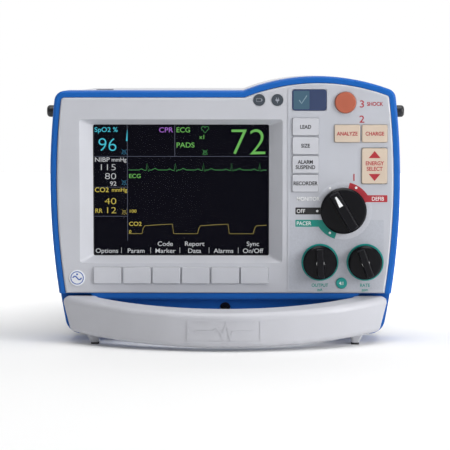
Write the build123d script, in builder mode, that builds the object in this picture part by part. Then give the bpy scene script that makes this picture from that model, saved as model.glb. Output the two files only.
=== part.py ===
"""A hospital monitor and defibrillator with a screen, soft keys, pacer dials and a front carrying handle.

Row frame, millimetres: +X to the operator's right, +Y to the rear, +Z up. The origin is on the table,
under the middle of the case. Each finished piece is written to its own STEP file in parts/.
"""

import os
from math import cos, radians, sin, sqrt

from build123d import *

# ---------------------------------------------------------------- driving dimensions
# Case outline, seen from the front
HALF_WIDTH = 133.4  # at the widest height of the bulged sides
WIDEST_Z = 123.0
SIDE_RADIUS = 560.0
SHOULDER_Z = 193.0  # flat part of the top, left of the dome
DOME_X = 71.0
DOME_TOP_Z = 204.0
DOME_RADIUS = 154.0
CORNER_R = 8.0
BODY_BOTTOM = 6.0
BOTTOM_CORNER_R = 12.0

# Case depths
Y_FACE = -108.0  # front of the control panel
Y_RIM = -107.0  # front of the blue frame
Y_FLANGE = -87.0  # where the front housing seats in the frame
Y_CHIN = -95.0  # recessed wall behind the handle
Y_SPLIT = -62.0  # joint of frame and rear housing
Y_REAR = 150.0
Y_END = 158.5  # rearmost point, as far behind the origin as the handle is in front

WALL = 2.5
FRAME_WALL = 3.0
RIM_WIDTH = 4.9  # width of the blue frame seen around the panel
FIT = 0.2  # gap around keys
PANEL_BOTTOM = 38.8
LEDGE_BOTTOM = 33.5  # underside of the blue strip below the panel

# Screen
SCREEN_X = (-101.0, 33.6)
SCREEN_Z = (66.9, 167.3)
BEZEL_X = (-110.8, 43.8)  # where the sloping bezel starts on the panel
BEZEL_Z = (62.0, 171.5)
SCREEN_DEPTH = 8.0
WINDOW_T = 2.0
GASKET_T = 2.0
LCD_T = 9.0

# Control panel
OVERLAY_LEFT = 47.8
OVERLAY_T = 0.4
KEY_PROUD = 1.2
SOFTKEY_PITCH = 22.45
SOFTKEY_GAP = 1.2
SOFTKEY_COUNT = 6
SOFTKEY_Z = (46.1, 58.7)
SIDE_KEY_X = (51.1, 71.1)
SIDE_KEY_PITCH = 14.3
SIDE_KEY_H = 13.1
SIDE_KEY_TOP = 172.4
CREAM_KEY_Z = (154.1, 167.3)
ANALYZE_X = (83.1, 102.4)
CHARGE_X = (103.9, 123.2)
ENERGY_Z = (122.7, 149.6)
SHOCK_AT = (91.3, 184.2)
SHOCK_R = 8.0
RATIO_AT = (88.9, 46.6)
RATIO_R = 4.3
MODE_AT = (90.1, 102.1)
MODE_R = 17.5
OUTPUT_AT = (72.4, 62.6)
RATE_AT = (106.8, 62.6)
PACER_R = 12.9
TRIM_R = 14.2
LAMP_AT = ((25.9, 186.1), (39.7, 186.1))
LAMP_R = 4.6
STATUS_AT = (64.0, 186.1)
STATUS_SIZE = (26.6, 16.5)
BADGE_AT = (-113.0, 50.4)
BADGE_R = 6.1

# Boards
Y_KEYPAD = -99.5
PCB_T = 1.6
SWITCH_TOP = -103.1  # front of the tactile switches

# Handle: an arc in plan on a plane that drops towards the front
HANDLE_R = 178.0
HANDLE_T = 19.0
HANDLE_H = 27.2
HANDLE_TILT = 8.5
HANDLE_HALF = 125.6
HANDLE_GAP_HALF = 96.0
HANDLE_FRONT_Z = 2.0
FOOT_X = 99.5
FOOT_Y = -107.0
FRONT_PAD_T = 1.5

# Top: strip-chart recorder
DOOR_X = (-86.0, 2.0)
DOOR_Y = (-48.0, 44.0)
DOOR_T = 3.0
TOP_Z = SHOULDER_Z - 1.2  # top skin of the rear housing
PAPER_R = 19.0
PLATEN_R = 6.0

# Rear
BATTERY_X = (20.0, 112.0)
BATTERY_Z = (15.0, 63.0)
PANEL_X = (-112.0, 8.0)
PANEL_Z = (78.0, 156.0)
INLET_AT = (-78.0, 36.0)
GROUND_AT = (-36.0, 34.0)
GROUND_R = 3.0

CHIN_HOLES_X = (-85.0, 0.0, 85.0)
CHIN_HOLES_Z = 26.0
POST_AT = (-78.0, 177.0)  # strap post on each side: y, z
POST_TIP_X = 138.0
POST_R = 4.6


# ---------------------------------------------------------------- helpers
def upright(y):
    """Sketch plane that faces the operator at depth y. Its own x and y are the row's X and Z."""
    return Plane.XZ.offset(-y)


def middle(pair):
    return (pair[0] + pair[1]) / 2


def span(pair):
    return pair[1] - pair[0]


def circles_meet(centre_a, radius_a, centre_b, radius_b):
    """Upper right meeting point of two circles."""
    dx, dz = centre_b[0] - centre_a[0], centre_b[1] - centre_a[1]
    apart = sqrt(dx**2 + dz**2)
    along = (radius_a**2 - radius_b**2 + apart**2) / (2 * apart)
    off = sqrt(radius_a**2 - along**2)
    foot_x, foot_z = centre_a[0] + along * dx / apart, centre_a[1] + along * dz / apart
    found = [
        (foot_x + off * dz / apart, foot_z - off * dx / apart),
        (foot_x - off * dz / apart, foot_z + off * dx / apart),
    ]
    return max(found, key=lambda point: point[0] + point[1])


def side_x(z, inset=0.0, narrow=0.0):
    """Half the case's width at height z."""
    radius = SIDE_RADIUS - inset
    return HALF_WIDTH - narrow - SIDE_RADIUS + sqrt(radius**2 - (z - WIDEST_Z) ** 2)


def case_outline(inset, bottom, narrow=0.0):
    """Face of the case seen from the front, for use inside a BuildSketch."""
    top = SHOULDER_Z - inset
    dome_centre = (DOME_X, DOME_TOP_Z - DOME_RADIUS)
    dome_r = DOME_RADIUS - inset
    side_centre = (HALF_WIDTH - narrow - SIDE_RADIUS, WIDEST_Z)
    kink_x = DOME_X - sqrt(dome_r**2 - (top - dome_centre[1]) ** 2)
    corner = circles_meet(dome_centre, dome_r, side_centre, SIDE_RADIUS - inset)
    low, mid, high = (side_x(z, inset, narrow) for z in (bottom, WIDEST_Z, top))
    with BuildSketch() as outline:
        with BuildLine():
            Line((-low, bottom), (low, bottom))
            ThreePointArc((low, bottom), (mid, WIDEST_Z), corner)
            ThreePointArc(corner, (DOME_X, dome_centre[1] + dome_r), (kink_x, top))
            Line((kink_x, top), (-high, top))
            ThreePointArc((-high, top), (-mid, WIDEST_Z), (-low, bottom))
        make_face()
        shoulders = outline.vertices().filter_by(
            lambda v: v.Y > WIDEST_Z and abs(v.X) > HALF_WIDTH / 2
        )
        fillet(shoulders, max(CORNER_R - inset, 1.5))
        if bottom < LEDGE_BOTTOM:
            fillet(outline.vertices().group_by(Axis.Y)[0], BOTTOM_CORNER_R - inset)
    return add(outline.sketch)


def box_between(x, y, z, mode=Mode.ADD):
    """A block between the low and high corner values, for use inside a BuildPart."""
    with Locations((middle(x), middle(y), middle(z))):
        return Box(span(x), span(y), span(z), mode=mode)


def upright_rectangle(x, z, radius=0.0):
    """Rectangle with rounded corners in an upright sketch."""
    with Locations((middle(x), middle(z))):
        if radius:
            RectangleRounded(span(x), span(z), radius)
        else:
            Rectangle(span(x), span(z))


def grown(pair, by):
    return (pair[0] - by, pair[1] + by)


def edges_at_y(part, y, tolerance=0.01):
    return part.edges().filter_by_position(Axis.Y, y - tolerance, y + tolerance)


def write(builder, name):
    builder.part.label = name
    export_step(builder.part, f"parts/{name}.step")


os.makedirs("parts", exist_ok=True)

SOFTKEYS = [
    (
        SCREEN_X[0] + n * SOFTKEY_PITCH + SOFTKEY_GAP / 2,
        SCREEN_X[0] + (n + 1) * SOFTKEY_PITCH - SOFTKEY_GAP / 2,
    )
    for n in range(SOFTKEY_COUNT)
]
SIDE_KEYS = {
    name: (SIDE_KEY_TOP - n * SIDE_KEY_PITCH - SIDE_KEY_H, SIDE_KEY_TOP - n * SIDE_KEY_PITCH)
    for n, name in enumerate(("lead_key", "size_key", "alarm_key", "recorder_key"))
}
# name: (x range, z range) of every sliding key
KEYS = {f"softkey_{n + 1}": (x, SOFTKEY_Z) for n, x in enumerate(SOFTKEYS)}
KEYS |= {name: (SIDE_KEY_X, z) for name, z in SIDE_KEYS.items()}
KEYS |= {"analyze_key": (ANALYZE_X, CREAM_KEY_Z), "charge_key": (CHARGE_X, CREAM_KEY_Z)}

# ---------------------------------------------------------------- front housing
Y_WALL = Y_FACE + WALL  # inner face of the panel wall
Y_WINDOW = Y_FACE + SCREEN_DEPTH
COLLAR_BACK = Y_WINDOW + WINDOW_T + GASKET_T
ROCKER_AXIS_Y = -104.3
ROCKER_AXIS_Z = middle(ENERGY_Z)
ROCKER_PIN_R = 1.0
PANEL_SCREWS = ((-116.0, 181.0), (116.0, 181.0), (-117.0, 49.0), (117.0, 49.0))

with BuildPart() as front_housing:
    with BuildSketch(upright(Y_FACE)):
        case_outline(RIM_WIDTH + 0.3, PANEL_BOTTOM)
    extrude(amount=Y_FACE - Y_FLANGE)
    fillet(edges_at_y(front_housing, Y_FACE), 1.2)
    with BuildSketch(upright(Y_WALL)):
        case_outline(RIM_WIDTH + 0.3 + WALL, PANEL_BOTTOM + WALL)
    extrude(amount=Y_WALL - Y_FLANGE, mode=Mode.SUBTRACT)
    # screen bezel: a funnel that slopes in to the window, and a collar round window and gasket
    with BuildSketch(upright(Y_FACE + 1.0)):
        upright_rectangle(grown(BEZEL_X, 1.2), grown(BEZEL_Z, 1.2), 5.0)
    with BuildSketch(upright(Y_WINDOW)):
        upright_rectangle(grown(SCREEN_X, 5.0), grown(SCREEN_Z, 5.0), 4.0)
    loft()
    with BuildSketch(upright(Y_WINDOW)):
        upright_rectangle(grown(SCREEN_X, 5.0), grown(SCREEN_Z, 5.0), 4.0)
    extrude(amount=Y_WINDOW - COLLAR_BACK)
    with BuildSketch(upright(Y_FACE)):
        upright_rectangle(BEZEL_X, BEZEL_Z, 2.0)
    with BuildSketch(upright(Y_WINDOW)):
        upright_rectangle(SCREEN_X, SCREEN_Z, 1.5)
    loft(mode=Mode.SUBTRACT)
    with BuildSketch(upright(Y_WINDOW)):
        upright_rectangle(grown(SCREEN_X, 2.5), grown(SCREEN_Z, 2.5), 2.0)
    extrude(amount=Y_WINDOW - COLLAR_BACK, mode=Mode.SUBTRACT)
    # bosses for the four screws that come through the frame's flange
    with BuildSketch(upright(Y_WALL)):
        with Locations(*PANEL_SCREWS):
            Circle(3.6)
    extrude(amount=Y_WALL - Y_FLANGE)
    with BuildSketch(upright(Y_FLANGE)):
        with Locations(*PANEL_SCREWS):
            Circle(1.25)
    extrude(amount=12.0, mode=Mode.SUBTRACT)
    # lugs for the energy rocker
    for lug_x in ((100.8, CHARGE_X[0] - 0.4), (CHARGE_X[1] + 0.4, 125.6)):
        box_between(lug_x, (Y_WALL - 0.5, -101.8), (ROCKER_AXIS_Z - 2.6, ROCKER_AXIS_Z + 2.6))
    with BuildSketch(Plane.YZ.offset(100.0)):
        with Locations((ROCKER_AXIS_Y, ROCKER_AXIS_Z)):
            Circle(ROCKER_PIN_R + 0.05)
    extrude(amount=25.4, mode=Mode.SUBTRACT)
    # openings in the panel wall
    with BuildSketch(upright(Y_FACE - 1.0)):
        for key_x, key_z in KEYS.values():
            upright_rectangle(grown(key_x, FIT), grown(key_z, FIT), 1.2)
        upright_rectangle(grown(CHARGE_X, FIT), grown(ENERGY_Z, 0.5), 1.4)
        with Locations(SHOCK_AT):
            Circle(SHOCK_R + FIT)
        with Locations(RATIO_AT):
            Circle(RATIO_R + FIT)
        with Locations(MODE_AT, OUTPUT_AT, RATE_AT):
            Circle(4.6)
        with Locations(*LAMP_AT):
            Circle(LAMP_R - 1.4)
        with Locations(STATUS_AT):
            RectangleRounded(STATUS_SIZE[0] - 3.0, STATUS_SIZE[1] - 3.0, 1.5)
    extrude(amount=-(WALL + 1.0), mode=Mode.SUBTRACT)
    with BuildSketch(upright(Y_FACE - 1.0)):
        with Locations(*LAMP_AT):
            Circle(LAMP_R)
        with Locations(STATUS_AT):
            RectangleRounded(*STATUS_SIZE, 2.5)
    extrude(amount=-2.2, mode=Mode.SUBTRACT)
write(front_housing, "front_housing")

# ---------------------------------------------------------------- blue frame
BLOCK_INNER_X = 95.7
BLOCK_TOP_X = 103.2
POST_STEM_R = 2.4
POST_SEAT_X = 129.9
HANDLE_SCREWS = ((-109.5, 31.0), (-105.0, 20.5), (105.0, 20.5), (109.5, 31.0))

def block_profile(side, gap):
    """One end block of the handle seen from the front, for use inside a BuildSketch."""
    with BuildSketch() as block:
        with BuildLine():
            Polyline(
                (side * (BLOCK_INNER_X + gap), LEDGE_BOTTOM - 3.0),
                (side * (BLOCK_INNER_X + gap), LEDGE_BOTTOM - 2.1),
                (side * (BLOCK_TOP_X + gap), PANEL_BOTTOM - 0.4 - gap),
                (side * (HALF_WIDTH - gap), PANEL_BOTTOM - 0.4 - gap),
                (side * (HALF_WIDTH - gap), LEDGE_BOTTOM - 3.0),
                close=True,
            )
        make_face()
    return add(block.sketch)


with BuildPart() as blue_frame:
    with BuildSketch(upright(Y_RIM)):
        case_outline(0.0, LEDGE_BOTTOM)
    extrude(amount=Y_RIM - Y_SPLIT)
    with BuildSketch(upright(Y_CHIN)):
        case_outline(0.0, BODY_BOTTOM)
    extrude(amount=Y_CHIN - Y_SPLIT)
    fillet(edges_at_y(blue_frame, Y_RIM), 2.2)
    # seat for the front housing
    with BuildSketch(upright(Y_RIM - 1.0)):
        case_outline(RIM_WIDTH, PANEL_BOTTOM - 0.2)
    extrude(amount=Y_RIM - 1.0 - Y_FLANGE, mode=Mode.SUBTRACT)
    # opening through the flange, with corner gussets left for the screws
    with BuildSketch(upright(Y_FLANGE)):
        case_outline(10.0, PANEL_BOTTOM + 6.0)
        with Locations((-118.0, 184.0), (118.0, 184.0), (-119.0, 46.0), (119.0, 46.0)):
            Rectangle(20.0, 22.0, mode=Mode.SUBTRACT)
    extrude(amount=-2.5, mode=Mode.SUBTRACT)
    with BuildSketch(upright(Y_FLANGE + 2.5)):
        case_outline(FRAME_WALL, BODY_BOTTOM + FRAME_WALL)
    extrude(amount=Y_FLANGE + 2.5 - Y_SPLIT, mode=Mode.SUBTRACT)
    chin_hollow_z = (BODY_BOTTOM + FRAME_WALL, LEDGE_BOTTOM + 2.0)
    box_between((-114, 114), (Y_CHIN + WALL, Y_FLANGE + 2.5), chin_hollow_z, Mode.SUBTRACT)
    # deep screw wells in the chin
    with BuildSketch(upright(Y_CHIN + 1.0)):
        with Locations(*[(x, CHIN_HOLES_Z) for x in CHIN_HOLES_X]):
            Circle(6.4)
    extrude(amount=-17.0)
    with Locations(upright(Y_CHIN)):
        with Locations(*[(x, CHIN_HOLES_Z) for x in CHIN_HOLES_X]):
            CounterBoreHole(radius=2.2, counter_bore_radius=4.2, counter_bore_depth=13.0, depth=20.0)
    with BuildSketch(upright(Y_FLANGE - 1.0)):
        with Locations(*PANEL_SCREWS):
            Circle(1.7)
    extrude(amount=-4.0, mode=Mode.SUBTRACT)
    # room for the handle's end blocks under the panel's corners
    with BuildSketch(upright(Y_RIM - 1.0)):
        block_profile(-1, 0.0)
        block_profile(1, 0.0)
    extrude(amount=Y_RIM - 1.0 - Y_CHIN, mode=Mode.SUBTRACT)
    with BuildSketch(upright(Y_CHIN - 1.0)):
        with Locations(*HANDLE_SCREWS):
            Circle(2.1)
    extrude(amount=-6.0, mode=Mode.SUBTRACT)
    # flat seats and bores for the strap posts
    with BuildSketch(Plane.YZ.offset(-HALF_WIDTH)):
        with Locations(POST_AT):
            Circle(POST_STEM_R + 0.1)
    extrude(amount=2 * HALF_WIDTH, mode=Mode.SUBTRACT)
    for seat in ((-HALF_WIDTH, -POST_SEAT_X), (POST_SEAT_X, HALF_WIDTH)):
        with BuildSketch(Plane.YZ.offset(seat[0])):
            with Locations(POST_AT):
                Circle(POST_R + 0.6)
        extrude(amount=span(seat), mode=Mode.SUBTRACT)
write(blue_frame, "blue_frame")

# ---------------------------------------------------------------- rear housing
REAR_INSET = 1.2
PLATE_T = 1.5  # sheet metal of the chassis
CHASSIS_REAR_Y = 130.0
REAR_NARROW = 6.0
Y_REAR_INNER = Y_REAR - FRAME_WALL
BAY_WALL = 2.0
RELEASE_X = (-104.0, -91.0)
RELEASE_Y = (-28.0, -8.0)
HINGE_Y = DOOR_Y[1] - 2.0
HINGE_Z = TOP_Z - DOOR_T / 2
HINGE_PIN_R = 0.9
DOOR_GAP = 0.5
GRILLE_Y = (60.0, 100.0)
GRILLE_Z = (118.0, 154.0)
REAR_SCREWS = ((-104.0, 176.0), (104.0, 176.0), (-102.0, 19.0), (8.0, 24.0))
REAR_FOOT_AT = ((-92.0, 128.0), (92.0, 128.0))

with BuildPart() as rear_housing:
    with BuildSketch(upright(Y_SPLIT)):
        case_outline(REAR_INSET, BODY_BOTTOM)
    with BuildSketch(upright(Y_REAR)):
        case_outline(REAR_INSET, BODY_BOTTOM, REAR_NARROW)
    loft()
    fillet(edges_at_y(rear_housing, Y_REAR), 7.0)
    with BuildSketch(upright(Y_SPLIT)):
        case_outline(REAR_INSET + FRAME_WALL, BODY_BOTTOM + FRAME_WALL)
    with BuildSketch(upright(Y_REAR_INNER)):
        case_outline(REAR_INSET + FRAME_WALL, BODY_BOTTOM + FRAME_WALL, REAR_NARROW)
    loft(mode=Mode.SUBTRACT)
    # battery bay
    box_between(
        grown(BATTERY_X, BAY_WALL + 0.5), (2.0, Y_REAR - 1.0), grown(BATTERY_Z, BAY_WALL + 0.5)
    )
    box_between(grown(BATTERY_X, 0.5), (4.0, Y_REAR + 1.0), grown(BATTERY_Z, 0.5), Mode.SUBTRACT)
    # recess for the connector plate, with a ledge behind it
    box_between(grown(PANEL_X, 2.0), (Y_REAR - 11.0, Y_REAR - 1.0), grown(PANEL_Z, 2.0))
    box_between(grown(PANEL_X, 0.3), (Y_REAR - 6.0, Y_REAR + 1.0), grown(PANEL_Z, 0.3), Mode.SUBTRACT)
    box_between(grown(PANEL_X, -6.0), (Y_REAR - 12.0, Y_REAR), grown(PANEL_Z, -6.0), Mode.SUBTRACT)
    # cut-outs for the mains inlet and the ground post
    with BuildSketch(upright(Y_REAR + 1.0)):
        with Locations(INLET_AT):
            RectangleRounded(32.6, 26.6, 3.3)
        with Locations(GROUND_AT):
            Circle(GROUND_R + 2.1)
    extrude(amount=FRAME_WALL + 2.0, mode=Mode.SUBTRACT)
    # rim under the recorder opening, the opening, and the hinge bores in it
    box_between(grown(DOOR_X, 3.0), grown(DOOR_Y, 3.0), (TOP_Z - 7.0, TOP_Z - 1.0))
    box_between(
        grown(DOOR_X, DOOR_GAP), grown(DOOR_Y, DOOR_GAP), (TOP_Z - 10.0, TOP_Z + 1.0), Mode.SUBTRACT
    )
    with BuildSketch(Plane.YZ.offset(DOOR_X[0] - 3.0)):
        with Locations((HINGE_Y, HINGE_Z)):
            Circle(HINGE_PIN_R + 0.06)
    extrude(amount=span(DOOR_X) + 6.0, mode=Mode.SUBTRACT)
    box_between(
        grown(RELEASE_X, FIT), grown(RELEASE_Y, FIT), (TOP_Z - 8.0, TOP_Z + 1.0), Mode.SUBTRACT
    )
    # speaker slots in the left side
    slot_count = 6
    slot_pitch = span(GRILLE_Z) / (slot_count - 1)
    for n in range(slot_count):
        slot_z = GRILLE_Z[0] + n * slot_pitch
        box_between((-140.0, -115.0), GRILLE_Y, (slot_z - 1.2, slot_z + 1.2), Mode.SUBTRACT)
    # screw wells from the rear
    with BuildSketch(upright(CHASSIS_REAR_Y + PLATE_T)):
        with Locations(*REAR_SCREWS):
            Circle(6.0)
    extrude(amount=CHASSIS_REAR_Y + PLATE_T - Y_REAR + 1.5)
    with BuildSketch(upright(Y_REAR + 1.0)):
        with Locations(*REAR_SCREWS):
            Circle(4.0)
    extrude(amount=11.0, mode=Mode.SUBTRACT)
    with BuildSketch(upright(Y_REAR)):
        with Locations(*REAR_SCREWS):
            Circle(2.2)
    extrude(amount=20.0, mode=Mode.SUBTRACT)
    # feet sockets
    with BuildSketch(Plane.XY.offset(BODY_BOTTOM - 1.0)):
        with Locations(*REAR_FOOT_AT):
            Circle(3.0)
    extrude(amount=5.0, mode=Mode.SUBTRACT)
write(rear_housing, "rear_housing")

# ---------------------------------------------------------------- handle
tilt = radians(HANDLE_TILT)
handle_plane = Plane(
    origin=(0.0, -Y_END + HANDLE_H * sin(tilt), HANDLE_FRONT_Z),
    x_dir=(1.0, 0.0, 0.0),
    z_dir=(0.0, -sin(tilt), cos(tilt)),
)
BLANK_HALF = 128.0  # half width before the ends are trimmed
blank_depth = HANDLE_R - sqrt(HANDLE_R**2 - BLANK_HALF**2)
inner_r = HANDLE_R - HANDLE_T
gap_depth = HANDLE_R - sqrt(inner_r**2 - HANDLE_GAP_HALF**2)
BACK_DEPTH = 72.0
END_LEAN = 9.6  # how far the ends come in from top to bottom
TRIM_TOP_Z = 45.0
trim_half = HANDLE_HALF + END_LEAN * (TRIM_TOP_Z - PANEL_BOTTOM) / (PANEL_BOTTOM - HANDLE_FRONT_Z)
FRAME_GAP = 0.25
LEG_TOP_Z = 14.0
LEG_TOP_X = 101.5
MOTIF_HALF = 27.8
MOTIF_H = 17.5
MOTIF_T = 0.45
MOTIF_LINE = 1.3
MOTIF_Z = HANDLE_FRONT_Z + HANDLE_H / 2
# the pulse line: along the handle, and up from its middle
PULSE = (
    (-22.0, 0.0),
    (-9.0, 0.0),
    (-6.0, 2.5),
    (-3.0, 0.0),
    (-1.5, -3.5),
    (1.5, 6.0),
    (4.5, -5.0),
    (6.5, 0.0),
    (22.0, 0.0),
)

with BuildPart() as motif:
    # a raised frame with a pulse line, following the curve of the handle's front
    with BuildSketch(upright(-Y_END - 2.0)):
        with Locations((0.0, MOTIF_Z)):
            RectangleRounded(2 * MOTIF_HALF, MOTIF_H, 1.5)
            RectangleRounded(
                2 * (MOTIF_HALF - MOTIF_LINE), MOTIF_H - 2 * MOTIF_LINE, 0.8, mode=Mode.SUBTRACT
            )
        with BuildLine():
            Polyline(*[(x, MOTIF_Z + rise) for x, rise in PULSE])
        trace(line_width=MOTIF_LINE)
    extrude(amount=-14.0)
    with BuildSketch(handle_plane):
        with Locations((0.0, HANDLE_R)):
            Circle(HANDLE_R + MOTIF_T)
            Circle(HANDLE_R - 1.0, mode=Mode.SUBTRACT)
    extrude(amount=HANDLE_H, mode=Mode.INTERSECT)

with BuildPart() as front_handle:
    with BuildSketch(handle_plane):
        with BuildLine():
            ThreePointArc((-BLANK_HALF, blank_depth), (0, 0), (BLANK_HALF, blank_depth))
            Polyline(
                (BLANK_HALF, blank_depth),
                (BLANK_HALF, BACK_DEPTH),
                (-BLANK_HALF, BACK_DEPTH),
                (-BLANK_HALF, blank_depth),
            )
        make_face()
        with BuildLine():
            ThreePointArc((-HANDLE_GAP_HALF, gap_depth), (0, HANDLE_T), (HANDLE_GAP_HALF, gap_depth))
            Polyline(
                (HANDLE_GAP_HALF, gap_depth),
                (HANDLE_GAP_HALF, BACK_DEPTH),
                (-HANDLE_GAP_HALF, BACK_DEPTH),
                (-HANDLE_GAP_HALF, gap_depth),
            )
        make_face(mode=Mode.SUBTRACT)
    extrude(amount=HANDLE_H)
    # the ends lean inwards towards the bottom, seen from the front
    with BuildSketch(upright(-Y_END - 1.0)):
        with BuildLine():
            Polyline(
                (-trim_half, TRIM_TOP_Z),
                (trim_half, TRIM_TOP_Z),
                (HANDLE_HALF - END_LEAN, HANDLE_FRONT_Z),
                (-HANDLE_HALF + END_LEAN, HANDLE_FRONT_Z),
                close=True,
            )
        make_face()
    extrude(amount=-(Y_END + 1.0 + Y_CHIN), mode=Mode.INTERSECT)
    rounded = front_handle.edges().filter_by_position(Axis.Y, -Y_END - 1.0, Y_CHIN - 1.0)
    fillet(rounded, 5.0)
    # beside the frame only the two end blocks are left
    with BuildSketch(upright(Y_RIM - FRAME_GAP)):
        Rectangle(2 * HALF_WIDTH, 2 * TRIM_TOP_Z)
        block_profile(-1, FRAME_GAP)
        block_profile(1, FRAME_GAP)
        with Locations((0.0, LEDGE_BOTTOM - FRAME_GAP - TRIM_TOP_Z / 2)):
            Rectangle(2 * HALF_WIDTH, TRIM_TOP_Z, mode=Mode.SUBTRACT)
    extrude(amount=-(Y_CHIN - Y_RIM + 1.0), mode=Mode.SUBTRACT)
    # short legs under the two ends
    for side in (-1, 1):
        with BuildSketch(Plane.XY.offset(LEG_TOP_Z)):
            with Locations((side * LEG_TOP_X, FOOT_Y)):
                RectangleRounded(15.0, 20.0, 3.0)
        with BuildSketch(Plane.XY.offset(FRONT_PAD_T)):
            with Locations((side * FOOT_X, FOOT_Y)):
                RectangleRounded(6.0, 12.0, 2.0)
        loft()
    with BuildSketch(upright(Y_CHIN)):
        with Locations(*HANDLE_SCREWS):
            Circle(1.65)
    extrude(amount=10.0, mode=Mode.SUBTRACT)
    add(motif.part)
write(front_handle, "front_handle")

# ---------------------------------------------------------------- feet, posts and screws
FOOT_R = 8.0
FOOT_STEM_R = 2.9

with BuildPart() as rubber_feet:
    with BuildSketch(Plane.XY):
        with Locations(*REAR_FOOT_AT):
            Circle(FOOT_R)
    extrude(amount=BODY_BOTTOM)
    fillet(rubber_feet.edges().group_by(Axis.Z)[0], 1.0)
    with BuildSketch(Plane.XY.offset(BODY_BOTTOM)):
        with Locations(*REAR_FOOT_AT):
            Circle(FOOT_STEM_R)
    extrude(amount=FRAME_WALL)
    with BuildSketch(Plane.XY):
        with Locations((-FOOT_X, FOOT_Y), (FOOT_X, FOOT_Y)):
            RectangleRounded(6.0, 12.0, 2.0)
    extrude(amount=FRONT_PAD_T)
write(rubber_feet, "rubber_feet")

with BuildPart() as strap_posts:
    for side in (-1, 1):
        with BuildSketch(Plane.YZ.offset(side * POST_SEAT_X)):
            with Locations(POST_AT):
                Circle(POST_R)
        extrude(amount=side * (POST_TIP_X - POST_SEAT_X))
        with BuildSketch(Plane.YZ.offset(side * POST_SEAT_X)):
            with Locations(POST_AT):
                Circle(POST_STEM_R)
        extrude(amount=-side * 6.0)
    tips = strap_posts.edges().filter_by_position(Axis.X, POST_TIP_X - 0.1, POST_TIP_X + 0.1)
    tips += strap_posts.edges().filter_by_position(Axis.X, -POST_TIP_X - 0.1, -POST_TIP_X + 0.1)
    fillet(tips, 2.4)
write(strap_posts, "strap_posts")

CHIN_SEAT_Y = Y_CHIN + 13.0
REAR_SEAT_Y = Y_REAR - 10.0
CHASSIS_FRONT_Y = -60.0


def screw(x, z, seat_y, way, length, head_r, head_t, shank_r):
    """A pan-head screw seen end on, for use inside a BuildPart. way is +1 for a tip to the rear."""
    with BuildSketch(upright(seat_y)) as head:
        with Locations((x, z)):
            Circle(head_r)
    extrude(head.sketch, amount=way * head_t)
    with BuildSketch(upright(seat_y)) as shank:
        with Locations((x, z)):
            Circle(shank_r)
    extrude(shank.sketch, amount=-way * length)
    with BuildSketch(upright(seat_y - way * head_t)) as socket:
        with Locations((x, z)):
            RegularPolygon(head_r * 0.5, 6)
    extrude(socket.sketch, amount=-way * head_t * 0.6, mode=Mode.SUBTRACT)


with BuildPart() as case_screws:
    for chin_x in CHIN_HOLES_X:
        screw(chin_x, CHIN_HOLES_Z, CHIN_SEAT_Y, 1, CHASSIS_FRONT_Y + 3.0 - CHIN_SEAT_Y, 3.8, 3.0, 2.0)
    for rear_x, rear_z in REAR_SCREWS:
        screw(rear_x, rear_z, REAR_SEAT_Y, -1, REAR_SEAT_Y - CHASSIS_REAR_Y + 3.0, 3.6, 2.8, 2.0)
write(case_screws, "case_screws")

with BuildPart() as handle_screws:
    for handle_x, handle_z in HANDLE_SCREWS:
        screw(handle_x, handle_z, Y_CHIN + WALL, -1, WALL + 9.0, 3.2, 2.4, 1.6)
write(handle_screws, "handle_screws")

# ---------------------------------------------------------------- front panel trim
Y_OVERLAY = Y_FACE - OVERLAY_T
OVERLAY_BOTTOM = 40.5

with BuildPart() as control_overlay:
    with BuildSketch(upright(Y_OVERLAY)):
        case_outline(RIM_WIDTH + 1.7, OVERLAY_BOTTOM)
        with Locations((OVERLAY_LEFT - HALF_WIDTH, WIDEST_Z)):
            Rectangle(2 * HALF_WIDTH, 2 * WIDEST_Z, mode=Mode.SUBTRACT)
        for key_x, key_z in KEYS.values():
            with Locations((middle(key_x), middle(key_z))):
                Rectangle(span(key_x) + 3 * FIT, span(key_z) + 3 * FIT, mode=Mode.SUBTRACT)
        with Locations((middle(CHARGE_X), middle(ENERGY_Z))):
            Rectangle(span(CHARGE_X) + 3 * FIT, span(ENERGY_Z) + 5 * FIT, mode=Mode.SUBTRACT)
        with Locations(SHOCK_AT):
            Circle(SHOCK_R + 2 * FIT, mode=Mode.SUBTRACT)
        with Locations(RATIO_AT):
            Circle(RATIO_R + 2 * FIT, mode=Mode.SUBTRACT)
        with Locations(MODE_AT, OUTPUT_AT, RATE_AT):
            Circle(5.2, mode=Mode.SUBTRACT)
        with Locations(STATUS_AT):
            Rectangle(*STATUS_SIZE, mode=Mode.SUBTRACT)
    extrude(amount=-OVERLAY_T)
write(control_overlay, "control_overlay")

with BuildPart() as display_window:
    with BuildSketch(upright(Y_WINDOW)):
        upright_rectangle(grown(SCREEN_X, 2.3), grown(SCREEN_Z, 2.3), 2.0)
    extrude(amount=-WINDOW_T)
write(display_window, "display_window")

with BuildPart() as lcd_gasket:
    with BuildSketch(upright(Y_WINDOW + WINDOW_T)):
        upright_rectangle(grown(SCREEN_X, 2.3), grown(SCREEN_Z, 2.3), 2.0)
        with Locations((middle(SCREEN_X), middle(SCREEN_Z))):
            Rectangle(span(SCREEN_X) - 1.0, span(SCREEN_Z) - 1.0, mode=Mode.SUBTRACT)
    extrude(amount=-GASKET_T)
write(lcd_gasket, "lcd_gasket")

with BuildPart() as lcd_module:
    with BuildSketch(upright(COLLAR_BACK)):
        upright_rectangle(grown(SCREEN_X, 6.0), grown(SCREEN_Z, 6.0), 1.0)
    extrude(amount=-LCD_T)
write(lcd_module, "lcd_module")

LENS_POCKET_Y = Y_FACE + 1.2

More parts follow.
